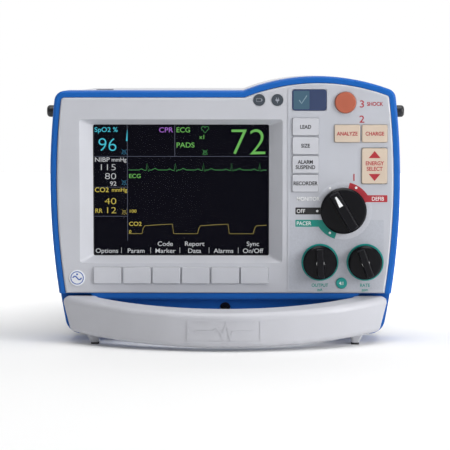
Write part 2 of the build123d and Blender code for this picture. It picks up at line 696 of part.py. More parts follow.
with BuildPart() as status_window:
    with BuildSketch(upright(LENS_POCKET_Y)):
        with Locations(STATUS_AT):
            RectangleRounded(STATUS_SIZE[0] - 0.4, STATUS_SIZE[1] - 0.4, 2.4)
    extrude(amount=LENS_POCKET_Y - Y_OVERLAY)
write(status_window, "status_window")

with BuildPart() as status_lcd:
    with BuildSketch(upright(Y_WALL)):
        with Locations(STATUS_AT):
            Rectangle(STATUS_SIZE[0], STATUS_SIZE[1] - 2.0)
    extrude(amount=Y_WALL - Y_KEYPAD)
write(status_lcd, "status_lcd")

with BuildPart() as indicator_lenses:
    with BuildSketch(upright(LENS_POCKET_Y)):
        with Locations(*LAMP_AT):
            Circle(LAMP_R - 0.2)
    extrude(amount=LENS_POCKET_Y - Y_FACE + 0.3)
    with BuildSketch(upright(LENS_POCKET_Y)):
        with Locations(*LAMP_AT):
            Circle(LAMP_R - 1.6)
    extrude(amount=-2.4)
write(indicator_lenses, "indicator_lenses")

with BuildPart() as badge:
    with BuildSketch(upright(Y_FACE)):
        with Locations(BADGE_AT):
            Circle(BADGE_R)
    extrude(amount=0.6)
    fillet(edges_at_y(badge, Y_FACE - 0.6), 0.3)
write(badge, "badge")

# ---------------------------------------------------------------- keys and buttons
Y_CAP = Y_OVERLAY - KEY_PROUD  # front of the keys
Y_CAP_BACK = Y_WALL + 0.3  # the retaining flange starts just behind the wall
KEY_FLANGE_T = 1.0
SOFTKEY_FLANGE = (0.15, 0.8)
SIDE_KEY_FLANGE = (0.8, 0.25)
CREAM_KEY_FLANGE = (0.35, 0.8)


def flange_size(name):
    if name.startswith("softkey"):
        return SOFTKEY_FLANGE
    if name in SIDE_KEYS:
        return SIDE_KEY_FLANGE
    return CREAM_KEY_FLANGE


def key_cap(name, x, z):
    grow_x, grow_z = flange_size(name)
    with BuildPart() as key:
        with BuildSketch(upright(Y_CAP_BACK)):
            upright_rectangle(x, z, 1.0)
        extrude(amount=Y_CAP_BACK - Y_CAP)
        fillet(edges_at_y(key, Y_CAP), 0.5)
        with BuildSketch(upright(Y_CAP_BACK)):
            upright_rectangle(grown(x, grow_x), grown(z, grow_z))
        extrude(amount=-KEY_FLANGE_T)
    return key


for key_name, (key_x, key_z) in KEYS.items():
    write(key_cap(key_name, key_x, key_z), key_name)

Y_ROCKER_BACK = SWITCH_TOP - 0.7

with BuildPart() as energy_rocker:
    with BuildSketch(upright(Y_ROCKER_BACK)):
        upright_rectangle(CHARGE_X, ENERGY_Z, 1.2)
    extrude(amount=Y_ROCKER_BACK - Y_CAP)
    fillet(edges_at_y(energy_rocker, Y_CAP), 0.5)
    with BuildSketch(Plane.YZ.offset(101.2)):
        with Locations((ROCKER_AXIS_Y, ROCKER_AXIS_Z)):
            Circle(ROCKER_PIN_R)
    extrude(amount=24.2)
write(energy_rocker, "energy_rocker")


def round_button(at, radius, proud, flange_r, flange_t):
    with BuildPart() as button:
        with BuildSketch(upright(Y_CAP_BACK)):
            with Locations(at):
                Circle(radius)
        extrude(amount=Y_CAP_BACK - Y_OVERLAY + proud)
        fillet(edges_at_y(button, Y_OVERLAY - proud), min(proud, 1.0) * 0.8)
        with BuildSketch(upright(Y_CAP_BACK)):
            with Locations(at):
                Circle(flange_r)
        extrude(amount=-flange_t)
    return button


write(round_button(SHOCK_AT, SHOCK_R, 2.0, SHOCK_R + 1.0, 0.7), "shock_button")
write(round_button(RATIO_AT, RATIO_R, 1.0, RATIO_R + 0.6, KEY_FLANGE_T), "ratio_button")

# ---------------------------------------------------------------- knobs, shafts and switches
Y_SKIRT = Y_OVERLAY - 0.5  # back of the knobs
SKIRT_T = 5.6
Y_GRIP = -122.0  # front of the grip bars
SHAFT_R = 3.0
Y_SHAFT_TIP = -119.5
Y_SHAFT_END = -96.0
GRIP_W = 8.0
PACER_GRIP_W = 6.0
MODE_TURN = 30.0  # resting turn of the grips, anticlockwise seen from the front
OUTPUT_TURN = 3.0
RATE_TURN = 20.0


def knob(at, radius, grip_w, turn):
    """A round skirt with a straight grip bar across it, bored for its shaft."""
    with BuildPart() as dial:
        with BuildSketch(upright(Y_SKIRT)):
            with Locations(at):
                Circle(radius)
        extrude(amount=SKIRT_T)
        chamfer(edges_at_y(dial, Y_SKIRT - SKIRT_T), 1.4)
        with BuildSketch(upright(Y_SKIRT - SKIRT_T)):
            with Locations(at):
                Circle(radius - 1.6)
                Rectangle(grip_w, 2 * radius, rotation=turn, mode=Mode.INTERSECT)
        extrude(amount=Y_SKIRT - SKIRT_T - Y_GRIP, taper=4)
        fillet(edges_at_y(dial, Y_GRIP), 0.8)
        with BuildSketch(upright(Y_SHAFT_TIP)):
            with Locations(at):
                Circle(SHAFT_R)
        extrude(amount=Y_SHAFT_TIP - Y_SKIRT - 1.0, mode=Mode.SUBTRACT)
    return dial


def shaft(at):
    with BuildPart() as spindle:
        with BuildSketch(upright(Y_SHAFT_TIP)):
            with Locations(at):
                Circle(SHAFT_R)
        extrude(amount=Y_SHAFT_TIP - Y_SHAFT_END)
    return spindle


write(knob(MODE_AT, MODE_R, GRIP_W, MODE_TURN), "mode_knob")
write(knob(OUTPUT_AT, PACER_R, PACER_GRIP_W, OUTPUT_TURN), "output_knob")
write(knob(RATE_AT, PACER_R, PACER_GRIP_W, RATE_TURN), "rate_knob")
write(shaft(MODE_AT), "mode_shaft")
write(shaft(OUTPUT_AT), "output_shaft")
write(shaft(RATE_AT), "rate_shaft")

with BuildPart() as mode_pointer:
    turn = radians(MODE_TURN)
    pointer_plane = Plane(
        origin=(MODE_AT[0], Y_GRIP, MODE_AT[1]), x_dir=(cos(turn), 0.0, sin(turn)), z_dir=(0.0, -1.0, 0.0)
    )
    with BuildSketch(pointer_plane):
        with BuildLine():
            Polyline((-1.6, 4.5), (1.6, 4.5), (0.7, 13.0), (-0.7, 13.0), close=True)
        make_face()
    extrude(amount=0.3)
write(mode_pointer, "mode_pointer")

with BuildPart() as pacer_trim_rings:
    with BuildSketch(upright(Y_OVERLAY)):
        with Locations(OUTPUT_AT, RATE_AT):
            Circle(TRIM_R)
            Circle(PACER_R - 2.0, mode=Mode.SUBTRACT)
    extrude(amount=0.3)
write(pacer_trim_rings, "pacer_trim_rings")

SWITCH_BODY = 22.0
ENCODER_BODY = 14.0
BUSHING_R = 4.4
SHAFT_PLAY = 0.06


def rotary_body(places, size, y_back):
    """Square bodies behind the panel with threaded bushings through it."""
    with BuildPart() as rotary:
        with BuildSketch(upright(Y_WALL)):
            with Locations(*places):
                Rectangle(size, size)
        extrude(amount=Y_WALL - y_back)
        with BuildSketch(upright(Y_WALL)):
            with Locations(*places):
                Circle(BUSHING_R)
        extrude(amount=Y_WALL - Y_OVERLAY + 0.2)
        with BuildSketch(upright(Y_OVERLAY - 1.0)):
            with Locations(*places):
                Circle(SHAFT_R + SHAFT_PLAY)
        extrude(amount=Y_OVERLAY - 1.5 - Y_SHAFT_END, mode=Mode.SUBTRACT)
    return rotary


write(rotary_body([MODE_AT], SWITCH_BODY, -92.3), "mode_switch")
write(rotary_body([OUTPUT_AT, RATE_AT], ENCODER_BODY, -94.0), "pacer_encoders")

# ---------------------------------------------------------------- boards behind the panel
TACT = 6.0
ROCKER_SWITCH_AT = 8.0

with BuildPart() as keypad_board:
    with BuildSketch(upright(Y_KEYPAD)):
        upright_rectangle((51.0, 120.0), (42.5, 188.0))
        upright_rectangle((-104.0, 52.0), (42.5, 60.0))
        for notch_x, notch_z in PANEL_SCREWS[1:]:
            with Locations((notch_x, notch_z)):
                Rectangle(13.0, 19.0, mode=Mode.SUBTRACT)
        with Locations(MODE_AT):
            Rectangle(SWITCH_BODY + 2.0, SWITCH_BODY + 2.0, mode=Mode.SUBTRACT)
        with Locations(OUTPUT_AT, RATE_AT):
            Rectangle(ENCODER_BODY + 1.0, ENCODER_BODY + 1.0, mode=Mode.SUBTRACT)
    extrude(amount=-PCB_T)
    with BuildSketch(upright(Y_KEYPAD)):
        with Locations(*[(middle(x), middle(z)) for x, z in KEYS.values()]):
            Rectangle(TACT, TACT)
        for offset_z in (-ROCKER_SWITCH_AT, ROCKER_SWITCH_AT):
            with Locations((middle(CHARGE_X), ROCKER_AXIS_Z + offset_z)):
                Rectangle(TACT, TACT)
        with Locations(SHOCK_AT, RATIO_AT):
            Rectangle(TACT, TACT)
    extrude(amount=Y_KEYPAD - SWITCH_TOP)
write(keypad_board, "keypad_board")

BOARD_Y = -78.0
CHIP_T = 4.0
# x, z and width of each large chip
CHIPS = ((-70.0, 120.0, 28.0), (-15.0, 95.0, 20.0), (45.0, 130.0, 24.0), (80.0, 80.0, 16.0))

with BuildPart() as main_board:
    box_between((-110.0, 110.0), (BOARD_Y, BOARD_Y + PCB_T), (50.0, 172.0))
    for chip_x, chip_z, chip_w in CHIPS:
        half = chip_w / 2
        box_between(
            (chip_x - half, chip_x + half), (BOARD_Y - CHIP_T, BOARD_Y), (chip_z - half, chip_z + half)
        )
write(main_board, "main_board")

SHELF_Z = 70.0

with BuildPart() as chassis_bracket:
    box_between((-112.0, 112.0), (CHASSIS_FRONT_Y, CHASSIS_FRONT_Y + PLATE_T), (12.0, 178.0))
    box_between((-110.0, 110.0), (CHASSIS_FRONT_Y, CHASSIS_REAR_Y + PLATE_T), (SHELF_Z, SHELF_Z + PLATE_T))
    with BuildSketch(upright(CHASSIS_REAR_Y)):
        upright_rectangle((-110.0, 110.0), (13.0, 183.0))
    extrude(amount=-PLATE_T)
    # windows for the battery bay, the rear connectors and the inlet
    plate_y = (CHASSIS_REAR_Y - 1.0, CHASSIS_REAR_Y + 3.0)
    box_between(grown(BATTERY_X, 4.0), plate_y, grown(BATTERY_Z, 4.0), Mode.SUBTRACT)
    box_between(grown(PANEL_X, -2.0), plate_y, grown(PANEL_Z, -1.0), Mode.SUBTRACT)
    box_between((-102.0, -24.0), (CHASSIS_REAR_Y - 1.0, CHASSIS_REAR_Y + 3.0), (16.0, 60.0), Mode.SUBTRACT)
    with BuildSketch(upright(CHASSIS_REAR_Y)):
        with Locations(*REAR_SCREWS):
            Circle(2.15)
    extrude(amount=-3.0, mode=Mode.SUBTRACT)
    # the front plate is open in the middle and drilled for the chin screws
    box_between((-90.0, 90.0), (CHASSIS_FRONT_Y - 1.0, CHASSIS_FRONT_Y + 3.0), (84.0, 164.0), Mode.SUBTRACT)
    with BuildSketch(upright(CHASSIS_FRONT_Y - 1.0)):
        with Locations(*[(x, CHIN_HOLES_Z) for x in CHIN_HOLES_X]):
            Circle(2.15)
    extrude(amount=-4.0, mode=Mode.SUBTRACT)
    # standoffs for the main board
    with BuildSketch(upright(CHASSIS_FRONT_Y)):
        with Locations((-100.0, 60.0), (100.0, 60.0), (-100.0, 168.0), (100.0, 168.0)):
            Circle(3.0)
    extrude(amount=CHASSIS_FRONT_Y - BOARD_Y - PCB_T)
write(chassis_bracket, "chassis_bracket")

# ---------------------------------------------------------------- high voltage and power
with BuildPart() as hv_capacitor:
    with BuildSketch(Plane.YZ.offset(-108.0)):
        with Locations((62.0, 40.0)):
            Circle(27.0)
    extrude(amount=90.0)
    with BuildSketch(Plane.YZ.offset(-18.0)):
        with Locations((54.0, 40.0), (70.0, 40.0)):
            Circle(3.0)
    extrude(amount=6.0)
write(hv_capacitor, "hv_capacitor")

with BuildPart() as power_supply:
    box_between((-106.0, -12.0), (-52.0, 22.0), (18.0, 58.0))
    fillet(power_supply.edges().filter_by(Axis.Z), 2.0)
write(power_supply, "power_supply")

with BuildPart() as charger_module:
    box_between((16.0, 104.0), (24.0, 112.0), (SHELF_Z + PLATE_T, SHELF_Z + PLATE_T + 44.0))
    fillet(charger_module.edges().filter_by(Axis.Z), 3.0)
write(charger_module, "charger_module")

SPEAKER_R = 19.0

with BuildPart() as speaker:
    with BuildSketch(Plane.YZ.offset(-119.0)):
        with Locations((middle(GRILLE_Y), middle(GRILLE_Z))):
            Circle(SPEAKER_R)
    extrude(amount=4.0)
    with BuildSketch(Plane.YZ.offset(-115.0)):
        with Locations((middle(GRILLE_Y), middle(GRILLE_Z))):
            Circle(SPEAKER_R - 4.0)
    extrude(amount=9.0, taper=25)
write(speaker, "speaker")

# ---------------------------------------------------------------- recorder
MECH_X = (DOOR_X[0] - 4.0, DOOR_X[1] + 4.0)
MECH_Y = (DOOR_Y[0] - 4.0, DOOR_Y[1] + 4.0)
MECH_Z = (138.0, TOP_Z - 7.2)
MECH_WALL = 2.0
ROLL_AT = (6.0, 161.0)
PLATEN_AT = (-34.0, 175.0)
CORE_R = 6.0
PLATEN_PIN_R = 2.0
TAB_X = (-60.0, -54.0)

with BuildPart() as recorder_mechanism:
    box_between(MECH_X, MECH_Y, MECH_Z)
    bucket_z = (MECH_Z[0] + MECH_WALL, MECH_Z[1] + 1.0)
    box_between(grown(MECH_X, -MECH_WALL), grown(MECH_Y, -MECH_WALL), bucket_z, Mode.SUBTRACT)
    for wall_x, way in ((MECH_X[0] + MECH_WALL, 1), (MECH_X[1] - MECH_WALL, -1)):
        with BuildSketch(Plane.YZ.offset(wall_x)):
            with Locations(ROLL_AT):
                Circle(CORE_R - 0.06)
        extrude(amount=way * 5.0)
    with BuildSketch(Plane.YZ.offset(MECH_X[0] - 1.0)):
        with Locations(PLATEN_AT):
            Circle(PLATEN_PIN_R + 0.06)
    extrude(amount=span(MECH_X) + 2.0, mode=Mode.SUBTRACT)
    # thermal print head in front of the platen
    box_between((-80.0, -4.0), (MECH_Y[0] + MECH_WALL, PLATEN_AT[0] - PLATEN_R - 0.5), (166.0, 182.0))
write(recorder_mechanism, "recorder_mechanism")

with BuildPart() as paper_roll:
    with BuildSketch(Plane.YZ.offset(-82.0)):
        with Locations(ROLL_AT):
            Circle(PAPER_R)
            Circle(CORE_R, mode=Mode.SUBTRACT)
    extrude(amount=80.0)
write(paper_roll, "paper_roll")

with BuildPart() as platen_roller:
    with BuildSketch(Plane.YZ.offset(-82.0)):
        with Locations(PLATEN_AT):
            Circle(PLATEN_R)
    extrude(amount=80.0)
    with BuildSketch(Plane.YZ.offset(MECH_X[0])):
        with Locations(PLATEN_AT):
            Circle(PLATEN_PIN_R)
    extrude(amount=span(MECH_X))
write(platen_roller, "platen_roller")

with BuildPart() as recorder_door:
    box_between(DOOR_X, (DOOR_Y[0] + 1.4, DOOR_Y[1]), (TOP_Z - DOOR_T, TOP_Z))
    hinge_edges = recorder_door.edges().filter_by(Axis.X).sort_by(Axis.Y)[-2:]
    fillet(hinge_edges, DOOR_T / 2 - 0.05)
    box_between(TAB_X, (DOOR_Y[0] + 1.4, DOOR_Y[0] + 7.4), (TOP_Z - 0.5, TOP_Z + 1.0))
    box_between((-68.0, -16.0), (10.0, 12.0), (TOP_Z - 0.6, TOP_Z + 1.0), Mode.SUBTRACT)
    with BuildSketch(Plane.YZ.offset(DOOR_X[0] - 2.5)):
        with Locations((HINGE_Y, HINGE_Z)):
            Circle(HINGE_PIN_R)
    extrude(amount=span(DOOR_X) + 5.0)
write(recorder_door, "recorder_door")

RELEASE_PROUD = 1.2

with BuildPart() as recorder_release:
    box_between(RELEASE_X, RELEASE_Y, (TOP_Z - FRAME_WALL - 0.8, TOP_Z + RELEASE_PROUD))
    fillet(recorder_release.edges().group_by(Axis.Z)[-1], 0.8)
    lip_z = (TOP_Z - FRAME_WALL - 1.6, TOP_Z - FRAME_WALL - 0.6)
    box_between(grown(RELEASE_X, 0.7), grown(RELEASE_Y, 1.2), lip_z)
write(recorder_release, "recorder_release")

# ---------------------------------------------------------------- battery
BATTERY_Y = (5.0, Y_REAR + 1.5)
LATCH_X = (54.0, 78.0)
LATCH_Z = (44.0, 58.0)

with BuildPart() as battery_pack:
    box_between(BATTERY_X, BATTERY_Y, BATTERY_Z)
    fillet(battery_pack.edges().filter_by(Axis.Y), 2.0)
    fillet(edges_at_y(battery_pack, BATTERY_Y[1]), 1.0)
    # recess for the latch, with a finger hollow below it
    recess_y = (BATTERY_Y[1] - 5.0, BATTERY_Y[1] + 1.0)
    recess_z = (LATCH_Z[0] - 10.0, LATCH_Z[1] + 0.3)
    box_between(grown(LATCH_X, 0.3), recess_y, recess_z, Mode.SUBTRACT)
write(battery_pack, "battery_pack")

with BuildPart() as battery_latch:
    box_between(LATCH_X, (BATTERY_Y[1] - 4.6, BATTERY_Y[1] + 2.5), LATCH_Z)
    fillet(edges_at_y(battery_latch, BATTERY_Y[1] + 2.5), 1.0)
    groove_y = (BATTERY_Y[1] + 1.9, BATTERY_Y[1] + 3.0)
    for groove in range(3):
        groove_z = LATCH_Z[0] + 4.0 + 3.0 * groove
        box_between(grown(LATCH_X, -3.0), groove_y, (groove_z - 0.6, groove_z + 0.6), Mode.SUBTRACT)
write(battery_latch, "battery_latch")

# ---------------------------------------------------------------- rear connectors
PLATE_Y = (Y_REAR - 6.0, Y_REAR - 1.0)
# x, z and outer radius
ROUND_SOCKETS = {
    "ecg": (-92.0, 136.0, 9.0),
    "spo2": (-62.0, 136.0, 8.0),
    "nibp": (-92.0, 100.0, 6.5),
    "co2": (-62.0, 100.0, 6.5),
}
THERAPY_AT = (-22.0, 117.0)
THERAPY_R = 17.0
SOCKET_FRONT_Y = Y_REAR - 20.0
SOCKET_FLANGE = 1.5

with BuildPart() as connector_panel:
    box_between(PANEL_X, PLATE_Y, PANEL_Z)
    with BuildSketch(upright(PLATE_Y[0])):
        for socket_x, socket_z, socket_r in ROUND_SOCKETS.values():
            with Locations((socket_x, socket_z)):
                Circle(socket_r + 0.1)
        with Locations(THERAPY_AT):
            Circle(THERAPY_R + 0.1)
    extrude(amount=-span(PLATE_Y), mode=Mode.SUBTRACT)
write(connector_panel, "connector_panel")


def round_socket(at, radius, y_outer, bore_r, contact_count):
    """A panel socket with a collar, a blind bore and sunk contacts, for use inside a BuildPart."""
    with BuildSketch(upright(SOCKET_FRONT_Y)) as barrel:
        with Locations(at):
            Circle(radius)
    extrude(barrel.sketch, amount=SOCKET_FRONT_Y - y_outer)
    with BuildSketch(upright(PLATE_Y[1])) as collar:
        with Locations(at):
            Circle(radius + SOCKET_FLANGE)
    extrude(collar.sketch, amount=PLATE_Y[1] - y_outer + 2.0)
    with BuildSketch(upright(y_outer)) as bore:
        with Locations(at):
            Circle(bore_r)
    extrude(bore.sketch, amount=12.0, mode=Mode.SUBTRACT)
    with BuildSketch(upright(y_outer - 12.0)) as contacts:
        with Locations(at):
            with PolarLocations(bore_r * 0.55, contact_count):
                Circle(bore_r * 0.13)
    extrude(contacts.sketch, amount=3.0, mode=Mode.SUBTRACT)


with BuildPart() as patient_connectors:
    for socket_x, socket_z, socket_r in ROUND_SOCKETS.values():
        round_socket((socket_x, socket_z), socket_r, Y_REAR + 6.0, socket_r - 2.0, 6)
write(patient_connectors, "patient_connectors")

with BuildPart() as therapy_connector:
    round_socket(THERAPY_AT, THERAPY_R, Y_END, THERAPY_R - 3.0, 4)
write(therapy_connector, "therapy_connector")

with BuildPart() as ac_inlet:
    with BuildSketch(upright(Y_REAR + 1.6)):
        with Locations(INLET_AT):
            RectangleRounded(32.0, 26.0, 3.0)
    extrude(amount=32.0)
    with BuildSketch(upright(Y_REAR + 1.6)):
        with Locations(INLET_AT):
            RectangleRounded(24.6, 17.0, 2.0)
    extrude(amount=17.0, mode=Mode.SUBTRACT)
    with BuildSketch(upright(Y_REAR - 15.4)):
        with Locations(INLET_AT):
            with Locations((-7.0, -1.5), (0.0, 1.5), (7.0, -1.5)):
                Rectangle(2.0, 4.0)
    extrude(amount=-14.0)
write(ac_inlet, "ac_inlet")

with BuildPart() as ground_post:
    with BuildSketch(upright(Y_REAR + 1.5)):
        with Locations(GROUND_AT):
            Circle(GROUND_R + 2.0)
    extrude(amount=5.0)
    with BuildSketch(upright(Y_REAR - FRAME_WALL)):
        with Locations(GROUND_AT):
            RegularPolygon(GROUND_R + 5.0, 6)
    extrude(amount=3.0)
    with BuildSketch(upright(Y_REAR + 1.0)):
        with Locations(GROUND_AT):
            Circle(GROUND_R)
    extrude(amount=-(Y_END - Y_REAR - 1.0))
write(ground_post, "ground_post")
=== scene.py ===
"""Looks of the monitor defibrillator: materials, the lit screen, printed graphics, studio and camera.

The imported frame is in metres, +X to the operator's right, +Y to the rear, +Z up.
"""

import math

import bpy
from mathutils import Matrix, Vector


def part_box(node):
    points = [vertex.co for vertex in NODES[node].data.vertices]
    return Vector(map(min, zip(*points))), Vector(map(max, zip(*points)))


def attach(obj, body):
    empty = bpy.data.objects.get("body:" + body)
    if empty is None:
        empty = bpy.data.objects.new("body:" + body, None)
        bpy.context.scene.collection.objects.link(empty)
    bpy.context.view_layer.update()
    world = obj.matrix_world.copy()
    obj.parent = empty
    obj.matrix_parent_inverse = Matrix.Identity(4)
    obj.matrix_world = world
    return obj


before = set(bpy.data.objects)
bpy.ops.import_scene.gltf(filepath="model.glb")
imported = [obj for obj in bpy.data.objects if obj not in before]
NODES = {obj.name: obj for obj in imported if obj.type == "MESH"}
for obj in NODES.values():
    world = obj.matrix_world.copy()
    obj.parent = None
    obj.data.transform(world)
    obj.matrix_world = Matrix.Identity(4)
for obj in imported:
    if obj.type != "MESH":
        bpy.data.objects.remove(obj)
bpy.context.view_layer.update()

MM = 0.001
SKIN = 0.00006  # printed ink stands this far in front of what it is printed on
BOLD = 0.03  # strokes are thickened by this share of the capital height
PLAIN = 0.008
FINE = -0.02
LARGE_CAP = 4.0  # mm; larger letters on the screen have fine strokes
FONT_CAP = 0.70  # height of a capital in the built-in font, per unit of text size


# ---------------------------------------------------------------- places
def centre(node):
    low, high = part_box(node)
    return tuple((a + b) / 2 for a, b in zip(low, high))


def front_of(node):
    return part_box(node)[0][1]


OVERLAY_Y = front_of("control_overlay")
MODE_X, _, MODE_Z = centre("mode_knob")
MODE_R = (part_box("mode_knob")[1][0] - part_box("mode_knob")[0][0]) / 2
WINDOW_LOW, WINDOW_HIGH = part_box("display_window")
WINDOW_LAP = 2.3 * MM  # how far the window runs under the bezel
SCREEN_LEFT = WINDOW_LOW[0] + WINDOW_LAP
SCREEN_TOP = WINDOW_HIGH[2] - WINDOW_LAP
SCREEN_Y = front_of("lcd_module") - 0.0001


# ---------------------------------------------------------------- materials
COAT_ROUGHNESS = 0.15
PLASTIC_IOR = 1.5
PATCHES = 35.0  # tone and gloss patches per metre on moulded plastic
GRAIN_DEPTH = 0.04 * MM


def new_material(name, colour, roughness, metallic=0.0, coat=0.0):
    material = bpy.data.materials.new(name)
    material.use_nodes = True
    shader = material.node_tree.nodes["Principled BSDF"]
    shader.inputs["Base Color"].default_value = (*colour, 1.0)
    shader.inputs["Roughness"].default_value = roughness
    shader.inputs["Metallic"].default_value = metallic
    shader.inputs["Coat Weight"].default_value = coat
    shader.inputs["Coat Roughness"].default_value = COAT_ROUGHNESS
    shader.inputs["IOR"].default_value = PLASTIC_IOR
    return material, material.node_tree, shader


def object_noise(tree, scale, detail=3.0):
    """Noise that is fixed to the object, with scale in cycles per metre."""
    coords = tree.nodes.new("ShaderNodeTexCoord")
    noise = tree.nodes.new("ShaderNodeTexNoise")
    noise.inputs["Scale"].default_value = scale
    noise.inputs["Detail"].default_value = detail
    tree.links.new(coords.outputs["Object"], noise.inputs["Vector"])
    return noise


def add_bump(tree, shader, noise, strength, distance):
    bump = tree.nodes.new("ShaderNodeBump")
    bump.inputs["Strength"].default_value = strength
    bump.inputs["Distance"].default_value = distance
    tree.links.new(noise.outputs["Fac"], bump.inputs["Height"])
    tree.links.new(bump.outputs["Normal"], shader.inputs["Normal"])


def add_tone(tree, shader, noise, colour, spread):
    """Slightly lighter and darker patches of the base colour."""
    ramp = tree.nodes.new("ShaderNodeValToRGB")
    ramp.color_ramp.elements[0].position = 0.3
    ramp.color_ramp.elements[1].position = 0.7
    ramp.color_ramp.elements[0].color = (*[c * (1 - spread) for c in colour], 1.0)
    ramp.color_ramp.elements[1].color = (*[min(c * (1 + spread), 1.0) for c in colour], 1.0)
    tree.links.new(noise.outputs["Fac"], ramp.inputs["Fac"])
    tree.links.new(ramp.outputs["Color"], shader.inputs["Base Color"])


def add_wear(tree, shader, noise, roughness, spread):
    """Roughness that wanders a little, as handled plastic has it."""
    gloss = tree.nodes.new("ShaderNodeMapRange")
    gloss.inputs["To Min"].default_value = roughness - spread
    gloss.inputs["To Max"].default_value = roughness + spread
    tree.links.new(noise.outputs["Fac"], gloss.inputs["Value"])
    tree.links.new(gloss.outputs["Result"], shader.inputs["Roughness"])


def moulded(
    name,
    colour,
    roughness,
    grain=2200.0,
    depth=GRAIN_DEPTH,
    strength=0.25,
    coat=0.0,
    specular=0.5,
):
    """Injection-moulded plastic: fine spark-eroded grain, faint tone and gloss changes."""
    material, tree, shader = new_material(name, colour, roughness, coat=coat)
    shader.inputs["Specular IOR Level"].default_value = specular
    add_bump(tree, shader, object_noise(tree, grain, detail=2.0), strength, depth)
    broad = object_noise(tree, PATCHES)
    add_tone(tree, shader, broad, colour, spread=0.025)
    add_wear(tree, shader, broad, roughness, spread=0.05)
    return material


def printed(name, colour, roughness=0.45):
    """Screen-printed ink with a slightly uneven film."""
    material, tree, shader = new_material(name, colour, roughness)
    add_tone(tree, shader, object_noise(tree, scale=900.0), colour, spread=0.05)
    return material


def lit(name, colour, strength):
    """A lit area of a display."""
    material, _, shader = new_material(name, (0.0, 0.0, 0.0), 0.6)
    shader.inputs["Specular IOR Level"].default_value = 0.02
    shader.inputs["Emission Color"].default_value = (*colour, 1.0)
    shader.inputs["Emission Strength"].default_value = strength
    return material


def rubber(name, colour):
    """Matt rubber with a fine, fairly deep grain."""
    material, tree, shader = new_material(name, colour, 0.75)
    add_bump(tree, shader, object_noise(tree, scale=3200.0, detail=4.0), strength=0.4, distance=0.05 * MM)
    add_tone(tree, shader, object_noise(tree, scale=60.0), colour, spread=0.15)
    return material


def metal(name, colour, roughness, stretch=(1.0, 1.0, 1.0)):
    """Brushed or turned metal; stretch squeezes the noise along the brushing."""
    material, tree, shader = new_material(name, colour, roughness, metallic=1.0)
    coords = tree.nodes.new("ShaderNodeTexCoord")
    mapping = tree.nodes.new("ShaderNodeMapping")
    mapping.inputs["Scale"].default_value = stretch
    noise = tree.nodes.new("ShaderNodeTexNoise")
    noise.inputs["Scale"].default_value = 900.0
    tree.links.new(coords.outputs["Object"], mapping.inputs["Vector"])
    tree.links.new(mapping.outputs["Vector"], noise.inputs["Vector"])
    add_bump(tree, shader, noise, strength=0.15, distance=0.03 * MM)
    add_wear(tree, shader, noise, roughness, spread=0.08)
    return material


def clear_window(name, colour, alpha, roughness):
    """Clear plastic that dims what is behind it a little."""
    material, _, shader = new_material(name, colour, roughness)
    shader.inputs["Alpha"].default_value = alpha
    shader.inputs["Specular IOR Level"].default_value = 0.05
    return material


def circuit_board(name):
    """Green solder mask over a grid of tracks."""
    material, tree, shader = new_material(name, (0.01, 0.12, 0.05), 0.35)
    coords = tree.nodes.new("ShaderNodeTexCoord")
    bricks = tree.nodes.new("ShaderNodeTexBrick")
    bricks.inputs["Scale"].default_value = 160.0
    bricks.inputs["Color1"].default_value = (0.01, 0.13, 0.05, 1.0)
    bricks.inputs["Color2"].default_value = (0.015, 0.17, 0.07, 1.0)
    bricks.inputs["Mortar"].default_value = (0.05, 0.22, 0.08, 1.0)
    tree.links.new(coords.outputs["Object"], bricks.inputs["Vector"])
    tree.links.new(bricks.outputs["Color"], shader.inputs["Base Color"])
    return material


PANEL_GREY = moulded("panel grey", (0.53, 0.54, 0.585), 0.42)
OVERLAY_GREY = moulded("overlay film", (0.50, 0.515, 0.565), 0.38, grain=4200.0, depth=GRAIN_DEPTH / 2)
KEY_GREY = moulded("key grey", (0.55, 0.56, 0.605), 0.48, grain=3600.0)
HANDLE_GREY = moulded("handle grey", (0.515, 0.52, 0.56), 0.40)
CASE_GREY = moulded("case grey", (0.58, 0.59, 0.63), 0.50)
BLUE = moulded("frame blue", (0.010, 0.116, 0.45), 0.42, depth=GRAIN_DEPTH / 2, specular=0.18)
CREAM = moulded("key cream", (0.64, 0.53, 0.425), 0.45, grain=3600.0)
ORANGE = moulded("shock orange", (0.44, 0.112, 0.062), 0.40, grain=3600.0)
TEAL = moulded("pacer teal", (0.0, 0.29, 0.26), 0.42, grain=3600.0)
BLACK = moulded("knob black", (0.004, 0.004, 0.006), 0.30, grain=2600.0, strength=0.3, specular=0.18)
SOFT_BLACK = moulded("post black", (0.015, 0.015, 0.017), 0.38)
CHARCOAL = moulded("charcoal plastic", (0.06, 0.063, 0.07), 0.50)
GRAPHITE = moulded("graphite plastic", (0.05, 0.052, 0.06), 0.45)
BATTERY_GREY = moulded("battery grey", (0.10, 0.105, 0.12), 0.52)
WHITE_PLASTIC = moulded("badge white", (0.78, 0.80, 0.84), 0.30)
FOOT_RUBBER = rubber("foot rubber", (0.03, 0.03, 0.032))
GASKET_RUBBER = rubber("gasket rubber", (0.012, 0.012, 0.013))
PLATEN_RUBBER = rubber("platen rubber", (0.05, 0.05, 0.055))
SCREW_STEEL = metal("black screw", (0.05, 0.05, 0.055), 0.45)
SHAFT_STEEL = metal("shaft steel", (0.62, 0.62, 0.63), 0.28, (1.0, 12.0, 1.0))
SHEET_ALUMINIUM = metal("sheet aluminium", (0.70, 0.71, 0.72), 0.40, (1.0, 1.0, 14.0))
BRASS = metal("ground brass", (0.80, 0.58, 0.25), 0.30, (1.0, 12.0, 1.0))
SLEEVE = moulded("capacitor sleeve", (0.02, 0.05, 0.14), 0.30)
BOARD = circuit_board("circuit board")
PAPER = printed("chart paper", (0.86, 0.82, 0.80), 0.8)
WINDOW = clear_window("screen window", (0.004, 0.004, 0.007), 0.12, 0.08)
SCREEN_BLACK = lit("screen black", (0.005, 0.005, 0.009), 0.8)
